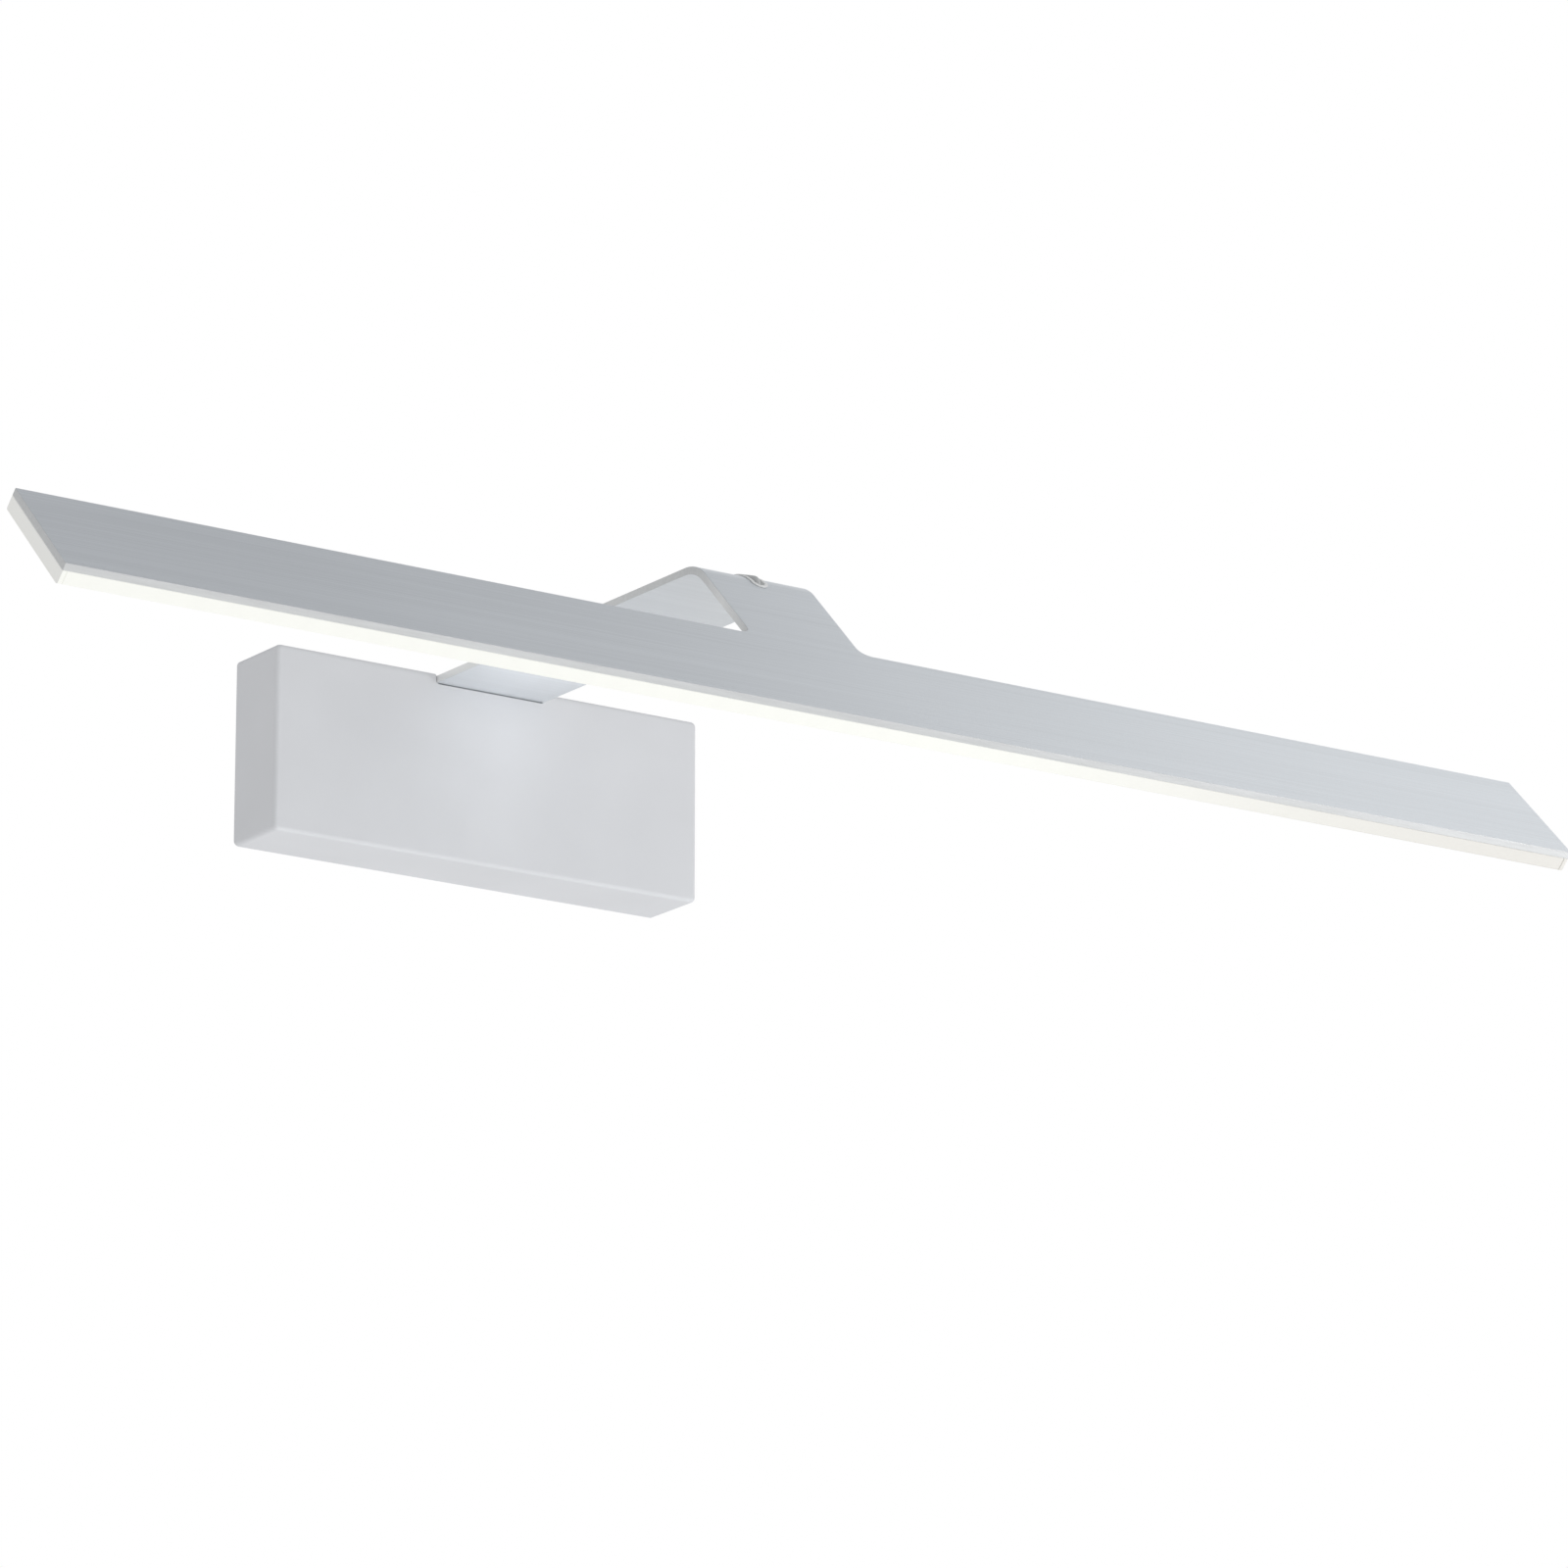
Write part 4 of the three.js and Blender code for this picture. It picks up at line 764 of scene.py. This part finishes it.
def lead_route():
    """The lead's points: from the inline connector up through the cover's grommet, over the root
    fold, flat along the arm, through the bend and down under the slope to the LED boards."""
    low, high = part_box("inline_connector")
    start = np.array([high.x, (low.y + high.y) / 2, (low.z + high.z) / 2])
    exit_place = np.array([0, -LEAD_EXIT_SETBACK, CANOPY_TOP])
    above = CLEARANCE + LEAD_RADIUS
    below = SHEET + CLEARANCE + LEAD_RADIUS
    bore_half = PASSAGE_LENGTH / 2 - CLEARANCE - PASSAGE_WALL
    bore_end = PASSAGE_RUN + bore_half
    lead_end = PLATE_START + HEAD_WIDTH / 2 - LED_BOARD_WIDTH / 2 + LEAD_TAIL
    beside = [
        (-ARM_FLAT - LEAD_RISE, -LEAD_HUMP),
        (LEAD_HUMP - ARM_FLAT, -above - LEAD_RADIUS),
        (LEAD_HUMP + 2 * LEAD_RISE - ARM_FLAT, -above),
        (-ARM_FLAT * 2 / 3, -above),
        (-ARM_FLAT / 3, -above),
        (-PASSAGE_LENGTH, -above),
        (PASSAGE_RUN - bore_half, -LEAD_RADIUS - TOUCH),
        *((PASSAGE_RUN + run, depth) for run, depth in LEAD_IN_PASSAGE),
        (bore_end - LEAD_DIP_SETBACK, SHEET / 2),
        (bore_end - LEAD_DIP_END, SHEET + LEAD_DIP_END),
        (bore_end + LEAD_RADIUS, below),
        ((bore_end + PLATE_START) / 2, below),
        (PLATE_START, below),
        (lead_end, below),
    ]
    return [
        start - np.array([CONNECTOR_SOCKET - CLEARANCE, 0, 0]),
        start,
        np.array([start[0] / 2, (start[1] + exit_place[1]) / 2, start[2]]),
        exit_place - np.array([0, 0, CANOPY_WALL + GROMMET_LIP + LEAD_RISE]),
        exit_place + np.array([0, 0, GROMMET_LIP]),
        np.array([0, -CANOPY_DEPTH / 2, CANOPY_TOP + LEAD_HUMP]),
        *(beside_sheet(run, depth) for run, depth in beside),
    ]


def led_lead(finish):
    """A tube along the lead's route."""
    grid = tube(smooth_path(lead_route(), LEAD_STEPS), LEAD_RADIUS)
    mesh = mesh_of("led_lead", [(grid, grid_faces(*grid.shape[:2], closed=True))])
    return piece("led_lead_sheath", mesh, "led_lead", finish)


# Finishes

class Value:
    """A number on a shader socket. Sums, products and comparisons with it add Math nodes."""

    def __init__(self, finish, socket):
        self.finish = finish
        self.socket = socket

    def _math(self, operation, first, second):
        return self.finish.node("ShaderNodeMath", {"operation": operation}, {0: first, 1: second})

    def __add__(self, other):
        return self._math("ADD", self, other)

    def __radd__(self, other):
        return self._math("ADD", other, self)

    def __sub__(self, other):
        return self._math("SUBTRACT", self, other)

    def __rsub__(self, other):
        return self._math("SUBTRACT", other, self)

    def __mul__(self, other):
        return self._math("MULTIPLY", self, other)

    def __rmul__(self, other):
        return self._math("MULTIPLY", other, self)

    def __gt__(self, other):
        return self._math("GREATER_THAN", self, other)


class Finish:
    """A material and the nodes that make it."""

    def __init__(self, name):
        self.material = bpy.data.materials.new(name)
        self.material.use_nodes = True
        self.tree = self.material.node_tree
        self.shader = self.tree.nodes["Principled BSDF"]

    def node(self, kind, settings, inputs, output=0):
        """Adds a node: first its settings or a ramp's stops, then the values or links of its sockets."""
        made = self.tree.nodes.new(kind)
        for key, value in settings.items():
            if key == "stops":
                for element, (position, colour) in zip(self._stops(made, len(value)), value):
                    element.position = position
                    element.color = (*colour, 1)
            else:
                setattr(made, key, value)
        for key, value in inputs.items():
            self.plug(made.inputs[key], value)
        return Value(self, made.outputs[output])

    def _stops(self, made, count):
        elements = made.color_ramp.elements
        while len(elements) < count:
            elements.new(1)
        return elements

    def plug(self, socket, value):
        """Links a value to a socket, or sets the socket to a number or a colour."""
        if isinstance(value, Value):
            self.tree.links.new(value.socket, socket)
        elif socket.type == "RGBA" and len(value) == 3:
            socket.default_value = (*value, 1)
        else:
            socket.default_value = value

    def place(self, scale=(1, 1, 1)):
        """Object coordinates, stretched for a pattern."""
        here = self.node("ShaderNodeTexCoord", {}, {}, "Object")
        return self.node("ShaderNodeMapping", {}, {"Vector": here, "Scale": scale})

    def coordinate(self, axis, place=None):
        """One of the three coordinates of a place."""
        return self.node("ShaderNodeSeparateXYZ", {}, {"Vector": place or self.place()}, axis)

    def noise(self, scale=1, detail=2, place=None, roughness=0.5):
        """Noise that repeats about as often in a metre as its scale says, or its stretched place."""
        vector = place or self.place()
        inputs = {"Vector": vector, "Scale": scale, "Detail": detail, "Roughness": roughness}
        return self.node("ShaderNodeTexNoise", {}, inputs, "Fac")

    def cells(self, scale, feature, output):
        """Cells that repeat about as often in a metre as their scale says."""
        inputs = {"Vector": self.place(), "Scale": scale}
        return self.node("ShaderNodeTexVoronoi", {"feature": feature}, inputs, output)

    def rising(self, value, start, end, curve="SMOOTHSTEP"):
        """The share of the way that a value has come from a start to an end."""
        inputs = {"Value": value, "From Min": start, "From Max": end}
        return self.node("ShaderNodeMapRange", {"interpolation_type": curve}, inputs, "Result")

    def mixed(self, share, first, second):
        """A colour between two colours."""
        settings = {"data_type": "RGBA"}
        return self.node("ShaderNodeMix", settings, {"Factor": share, 6: first, 7: second}, 2)

    def shades(self, share, stops):
        """A colour ramp over a share."""
        return self.node("ShaderNodeValToRGB", {"stops": stops}, {"Fac": share}, "Color")

    def varied(self, share, colour, factors, places=NOISE_SHARES):
        """One colour made darker and lighter by factors at places of a share."""
        return self.shades(share, [(at, lighter(colour, factor)) for at, factor in zip(places, factors)])

    def bumped(self, height, distance, strength=0.5):
        """A normal that follows a height."""
        inputs = {"Height": height, "Distance": distance, "Strength": strength}
        return self.node("ShaderNodeBump", {}, inputs, "Normal")

    def made(self, **inputs):
        """Sets the shader's sockets, named in words, and gives the finished material."""
        for name, value in inputs.items():
            self.plug(self.shader.inputs[name.replace("_", " ").title()], value)
        return self.material

    def shown(self, shader):
        """Shows another shader in place of the first one."""
        self.plug(self.tree.nodes["Material Output"].inputs["Surface"], shader)


def lighter(colour, factor):
    """A colour times a factor, no channel above 1."""
    return tuple(min(1.0, c * factor) for c in colour)


def gathered(patterns, shares):
    """The sum of patterns, each times its share."""
    total, *others = [pattern * share for pattern, share in zip(patterns, shares)]
    for other in others:
        total = total + other
    return total


def about(middle, pattern, spread):
    """A number that a pattern moves about a middle: the spread times the pattern less a half."""
    return middle - spread / 2 + pattern * spread


def powder_coat(colour, roughness):
    """Satin powder coat: a fine orange peel, a faint cloudiness and small changes of gloss."""
    finish = Finish("satin powder coat")
    peel = finish.noise(COAT_PEEL, detail=3)
    cloud = finish.noise(COAT_CLOUD)
    fleck = finish.noise(COAT_FLECK, detail=1)
    return finish.made(
        base_color=finish.varied(gathered((cloud, fleck), COAT_PATTERN_SHARES), colour, COAT_FACTORS),
        roughness=roughness + gathered((peel, cloud), COAT_SPREADS),
        normal=finish.bumped(peel, PEEL_RELIEF, strength=0.6),
    )


def brushed(name, colour, streak, roughness, metallic, painted_light_rear=None):
    """Metal brushed lengthwise: fine streaks that run along the lamp, broader ones under them, and
    gloss that follows the streaks. Behind the plate the colour may turn to another one: painted
    light and shade on the arm's cut edges."""
    finish = Finish(name)
    broad_streak = tuple(s * share for s, share in zip(streak, BROAD_STREAK_SHARES))
    fine = finish.noise(detail=3, place=finish.place(streak), roughness=0.65)
    broad = finish.noise(place=finish.place(broad_streak))
    cloud = finish.noise(BRUSHED_CLOUD)
    grain = gathered((fine, broad, cloud), BRUSHED_PATTERN_SHARES)
    tint = finish.varied(grain, colour, BRUSHED_FACTORS, BRUSHED_NOISE_SHARES)
    # Painted light and shade: along the arm the cut edge turns lighter towards the canopy and darker by the
    # bend
    if painted_light_rear:
        plate_rear = beside_sheet(PLATE_START, 0.0)[1]
        way_back = finish.rising(finish.coordinate("Y"), plate_rear, -CANOPY_DEPTH, "LINEAR")
        stops = [(place, (share, share, share)) for place, share in EDGE_PAINTED_LIGHT_AND_SHADE_SHARES]
        tint = finish.mixed(finish.shades(way_back, stops), tint, painted_light_rear)
    return finish.made(
        base_color=tint,
        metallic=metallic,
        roughness=about(roughness, grain, BRUSHED_SPREAD),
        normal=finish.bumped(fine, STREAK_RELIEF),
    )


def zinc_plate(name, colour, roughness):
    """Bright zinc on rolled steel: a faint spangle of flat crystals and rolling lines."""
    finish = Finish(name)
    crystals = finish.cells(ZINC_CRYSTALS, "F1", "Color")
    spangle = finish.node("ShaderNodeSeparateColor", {}, {"Color": crystals}, 0)
    lines = finish.noise(place=finish.place(ZINC_LINES))
    cloud = finish.noise(ZINC_CLOUD)
    grain = gathered((spangle, lines, cloud), ZINC_PATTERN_SHARES)
    return finish.made(
        base_color=finish.varied(grain, colour, ZINC_FACTORS, ZINC_NOISE_SHARES),
        metallic=0.95,
        roughness=roughness + gathered((spangle, cloud), ZINC_SPREADS),
        normal=finish.bumped(lines, STREAK_RELIEF),
    )


def moulded(name, colour, sparks, roughness, relief=SPARK_RELIEF, coat_weight=0.0):
    """Moulded plastic or rubber: a fine spark texture, and colour and gloss that drift slightly."""
    finish = Finish(name)
    spark = finish.noise(sparks)
    drift = finish.noise(MOULDED_DRIFT)
    return finish.made(
        base_color=finish.varied(gathered((drift, spark), MOULDED_PATTERN_SHARES), colour, MOULDED_FACTORS),
        roughness=about(roughness, spark, PLASTIC_SPREAD),
        normal=finish.bumped(spark, relief),
        coat_weight=coat_weight,
    )


def insulation(name, colour, stripe=None):
    """Wire insulation: smooth, with extrusion drift, and a second colour in stripes along it."""
    finish = Finish(name)
    drift = finish.noise(INSULATION_DRIFT)
    tint = finish.varied(drift, colour, INSULATION_FACTORS)
    if stripe:
        inputs = {"Vector": finish.place(), "Scale": INSULATION_BANDS}
        bands = finish.node("ShaderNodeTexWave", {}, inputs, "Fac")
        tint = finish.mixed(bands > 0.5, tint, stripe)
    return finish.made(base_color=tint, roughness=about(INSULATION_ROUGHNESS, drift, PLASTIC_SPREAD))


def solder_mask(name, colour, tracks, phosphor=None):
    """A circuit board's mask with paler tracks under it, and the LEDs' phosphor where there is one."""
    finish = Finish(name)
    on_track = finish.cells(BOARD_CELLS, "DISTANCE_TO_EDGE", "Distance") > TRACK_GAP_SHARE
    weave = finish.noise(BOARD_WEAVE)
    tint = finish.mixed(gathered((on_track, weave), BOARD_PATTERN_SHARES), colour, tracks)
    if phosphor:
        tint = finish.mixed(phosphor_mask(finish), tint, phosphor)
    return finish.made(base_color=tint, roughness=about(BOARD_ROUGHNESS, weave, BOARD_SPREAD))


def phosphor_mask(finish):
    """1 on the LEDs and on the boards' lower faces, which lie deeper than the rest of the boards under
    the sloping plate."""
    middle = beside_sheet((PLATE_START + PLATE_END) / 2, 0.0)
    turned = finish.node("ShaderNodeMapping", {"vector_type": "TEXTURE"}, {
        "Vector": finish.place(), "Location": tuple(middle), "Rotation": (SLOPE, 0, 0),
    })
    return (0 - finish.coordinate("Z", turned)) > PHOSPHOR_DEPTH


def opal(name, colour, roughness):
    """Opal plastic lit from inside: a little brighter over each LED, dimmer towards the right end,
    and dimmer again on the end faces, beyond the last LEDs."""
    finish = Finish(name)
    x = finish.coordinate("X")
    wave = finish.node("ShaderNodeMath", {"operation": "SINE"}, {0: x * (2 * math.pi / LED_PITCH)})
    from_middle = finish.node("ShaderNodeMath", {"operation": "ABSOLUTE"}, {0: x})
    on_end_face = from_middle > HEAD_LENGTH / 2 - END_FACE_DEPTH
    towards_end = finish.rising(x, GLOW_FALL_START, HEAD_LENGTH / 2)
    over_leds = finish.mixed(0.5 + wave * 0.5, lighter(OPAL_GLOW, BETWEEN_LEDS_FACTOR), OPAL_GLOW)
    along = finish.mixed(towards_end, over_leds, RIGHT_END_GLOW)
    milk = finish.noise(OPAL_MILK)
    return finish.made(
        base_color=finish.varied(milk, colour, OPAL_FACTORS),
        roughness=about(roughness, milk, PLASTIC_SPREAD),
        emission_color=finish.mixed(on_end_face * END_FACE_SHARE, along, END_FACE_GLOW),
        emission_strength=1.0,
    )


canopy_paint = powder_coat(CANOPY_GREY, roughness=0.36)
brushed_plate = brushed("brushed aluminium", PLATE_GREY, PLATE_STREAK, roughness=0.34, metallic=0.55)
# The cut edge's second colour is painted light on the arm's edges near the root
cut_edge = brushed(
    "cut aluminium edge with painted light", EDGE_GREY, EDGE_STREAK, roughness=0.5, metallic=0.4, painted_light_rear=ARM_EDGE_PAINTED_LIGHT_GREY,
)
zinc_steel = zinc_plate("zinc plated sheet", ZINC_GREY, roughness=0.28)
screw_steel = zinc_plate("zinc plated screws", STEEL_GREY, roughness=0.22)
tinned_brass = zinc_plate("tinned brass", TIN_GREY, roughness=0.25)
white_plastic = moulded("white plastic", CASE_WHITE, CASE_SPARK, roughness=0.45)
block_plastic = moulded("terminal block plastic", BLOCK_WHITE, BLOCK_SPARK, roughness=0.38)
clip_plastic = moulded("clip plastic", CLIP_GREY, CLIP_SPARK, roughness=0.35)
pale_rubber = moulded("pale rubber", PALE_RUBBER_GREY, RUBBER_SPARK, roughness=0.6)
bend_rubber = moulded("bend grommet rubber", BEND_RUBBER_GREY, RUBBER_SPARK, roughness=0.4)
dark_rubber = moulded("grey rubber", DARK_RUBBER_GREY, RUBBER_SPARK, roughness=0.6)
lead_sheath = moulded(
    "lead sheath", LEAD_GREY, LEAD_SPARK, roughness=0.35, relief=LEAD_RELIEF, coat_weight=0.2,
)
brown_insulation = insulation("brown insulation", WIRE_BROWN)
blue_insulation = insulation("blue insulation", WIRE_BLUE)
green_insulation = insulation("green and yellow insulation", WIRE_GREEN, stripe=WIRE_YELLOW)
circuit_board = solder_mask("green circuit board", BOARD_GREEN, TRACK_GREEN)
led_board = solder_mask("white LED board", BOARD_WHITE, TRACK_WHITE, phosphor=PHOSPHOR_YELLOW)
opal_plastic = opal("opal plastic", OPAL_WHITE, roughness=0.45)

# The pieces that the scene makes or dresses

arm_sheet(brushed_plate, cut_edge)
bend_grommet(bend_rubber)
cover_grommet(pale_rubber)
led_lead(lead_sheath)
for node in ("cover_screw_left", "cover_screw_right"):
    screw(node, (0, 0, 1), screw_steel, rise=COVER_GROWTH)

DRESSED = (
    ("canopy_cover", "canopy_paint", canopy_paint, COVER_ROUNDING),
    ("wall_plate", "zinc_steel", zinc_steel, SMALL_ROUNDING),
    ("mains_entry_bush", "grey_rubber", dark_rubber, RUBBER_ROUNDING),
    ("diffuser_cover", "opal_diffuser", opal_plastic, THIN_ROUNDING),
    ("end_cap_left", "opal_end_cap", opal_plastic, SMALL_ROUNDING),
    ("end_cap_right", "opal_end_cap", opal_plastic, SMALL_ROUNDING),
    ("lead_clip_1", "clip_plastic", clip_plastic, MOULDED_ROUNDING),
    ("lead_clip_2", "clip_plastic", clip_plastic, MOULDED_ROUNDING),
    ("driver_case", "white_plastic", white_plastic, MOULDED_ROUNDING),
    ("driver_lid", "white_plastic", white_plastic, MOULDED_ROUNDING),
    ("inline_connector", "white_plastic", white_plastic, SMALL_ROUNDING),
    ("terminal_block", "block_plastic", block_plastic, SMALL_ROUNDING),
    ("led_tray", "zinc_steel", zinc_steel, THIN_ROUNDING),
)
for node, slot, finish, rounding in DRESSED:
    dressed(node, finish, rounding)

for node in ("driver_screw_left", "driver_screw_right", "block_screw", "earth_screw"):
    screw(node, (0, -1, 0), screw_steel)
for pole in (1, 2, 3):
    for row in ("lower", "upper"):
        screw(f"clamp_screw_{row}_{pole}", (0, -1, 0), screw_steel, grub=True)

# The CAD nodes that keep their own shape

CARRIED_OVER = {
    "flange_washer_left": screw_steel,
    "flange_washer_right": screw_steel,
    "flange_nut_left": screw_steel,
    "flange_nut_right": screw_steel,
    "driver_board": circuit_board,
    "earth_lug": tinned_brass,
    "live_wire": brown_insulation,
    "neutral_wire": blue_insulation,
    "earth_wire": green_insulation,
    "driver_output_lead": lead_sheath,
    "led_board_left": led_board,
    "led_board_right": led_board,
}
for node, finish in CARRIED_OVER.items():
    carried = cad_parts[node]
    carried.data.materials.clear()
    carried.data.materials.append(finish)


# The stage, the lamps and the camera

def level_sheet(name, near, far, height, finish):
    """A level rectangle of the stage between two corners."""
    corners = [(near[0], near[1]), (far[0], near[1]), (far[0], far[1]), (near[0], far[1])]
    mesh = bpy.data.meshes.new(name)
    mesh.from_pydata([(x, y, height) for x, y in corners], [], [(0, 1, 2, 3)])
    mesh.materials.append(finish.material)
    sheet = bpy.data.objects.new(name, mesh)
    bpy.context.scene.collection.objects.link(sheet)
    return sheet


def floor():
    """A pale floor that the camera doesn't see from below, and that fades out far away."""
    finish = Finish("pale floor")
    tint = finish.shades(finish.noise(FLOOR_DRIFT), list(zip(NOISE_SHARES, FLOOR_WHITES)))
    finish.made(base_color=tint, roughness=0.7)
    rays = finish.node("ShaderNodeLightPath", {}, {}, "Is Camera Ray")
    under = finish.node("ShaderNodeNewGeometry", {}, {}, "Backfacing")
    away = finish.node("ShaderNodeVectorMath", {"operation": "LENGTH"}, {0: finish.place()}, "Value")
    faded = finish.rising(away, FLOOR_FADE_START, FLOOR_REACH * FLOOR_FADE_END_SHARE)
    hidden = finish.node("ShaderNodeMath", {"operation": "MAXIMUM"}, {0: under, 1: faded})
    clear = finish.node("ShaderNodeBsdfTransparent", {}, {}, "BSDF")
    shader = Value(finish, finish.shader.outputs["BSDF"])
    finish.shown(finish.node("ShaderNodeMixShader", {}, {0: rays * hidden, 1: shader, 2: clear}, 0))
    near, far = (-FLOOR_REACH, -FLOOR_REACH), (FLOOR_REACH, FLOOR_REACH)
    return level_sheet("floor", near, far, -FLOOR_DROP, finish)


def gloss_card():
    """A card over the lamp that only its gloss shows, grey at the left and white at the right, as a
    studio hangs one over brushed metal to give it a gradient."""
    finish = Finish("gloss card")
    share = finish.rising(finish.coordinate("X"), CARD_GREY_END, CARD_WHITE_END)
    tint = finish.mixed(share, CARD_GREY, CARD_WHITE)
    finish.shown(finish.node("ShaderNodeEmission", {}, {"Color": tint, "Strength": 1.0}, 0))
    card = level_sheet("gloss_card", CARD_NEAR, CARD_FAR, CARD_HEIGHT, finish)
    card.visible_camera = card.visible_diffuse = card.visible_shadow = card.visible_transmission = False
    return card


def white_world(strength):
    """White to the camera, to gloss and to glass, and plain light of a given strength to the rest."""
    world = bpy.data.worlds.new("studio")
    world.use_nodes = True
    bpy.context.scene.world = world
    nodes, links = world.node_tree.nodes, world.node_tree.links
    rays = nodes.new("ShaderNodeLightPath")
    add_gloss = nodes.new("ShaderNodeMath")
    add_glass = nodes.new("ShaderNodeMath")
    level = nodes.new("ShaderNodeMapRange")
    for node in (add_gloss, add_glass):
        node.operation = "ADD"
        node.use_clamp = True
    links.new(rays.outputs["Is Camera Ray"], add_gloss.inputs[0])
    links.new(rays.outputs["Is Glossy Ray"], add_gloss.inputs[1])
    links.new(add_gloss.outputs[0], add_glass.inputs[0])
    links.new(rays.outputs["Is Transmission Ray"], add_glass.inputs[1])
    links.new(add_glass.outputs[0], level.inputs["Value"])
    level.inputs["To Min"].default_value = strength
    level.inputs["To Max"].default_value = 1.0
    background = nodes["Background"]
    background.inputs["Color"].default_value = (1, 1, 1, 1)
    links.new(level.outputs[0], background.inputs["Strength"])


def lamp(name, place, target, sides, power, spread=180):
    """A rectangular lamp that points at its target, and that the camera doesn't see."""
    light = bpy.data.lights.new(name, "AREA")
    light.shape = "RECTANGLE"
    light.size, light.size_y = sides
    light.energy = power
    light.spread = math.radians(spread)
    holder = bpy.data.objects.new(name, light)
    holder.location = place
    holder.rotation_euler = (Vector(target) - Vector(place)).to_track_quat("-Z", "Y").to_euler()
    holder.visible_camera = False
    bpy.context.scene.collection.objects.link(holder)


def camera():
    """The photograph's view: to the left of the lamp and below it, looking up with a long lens."""
    data = bpy.data.cameras.new("photo view")
    data.sensor_width = CAMERA_SENSOR
    data.lens = CAMERA_LENS
    data.clip_start = CAMERA_NEAR
    data.clip_end = CAMERA_FAR
    holder = bpy.data.objects.new("photo view", data)
    holder.location = CAMERA_PLACE
    level = math.cos(CAMERA_PITCH)
    looking = (math.sin(CAMERA_AZIMUTH) * level, math.cos(CAMERA_AZIMUTH) * level, math.sin(CAMERA_PITCH))
    holder.rotation_euler = Vector(looking).to_track_quat("-Z", "Y").to_euler()
    bpy.context.scene.collection.objects.link(holder)
    bpy.context.scene.camera = holder


floor()
gloss_card()
white_world(WORLD_LEVEL)
for name, settings in LAMPS.items():
    lamp(name, **settings)
camera()

bpy.context.scene.view_settings.view_transform = "Standard"
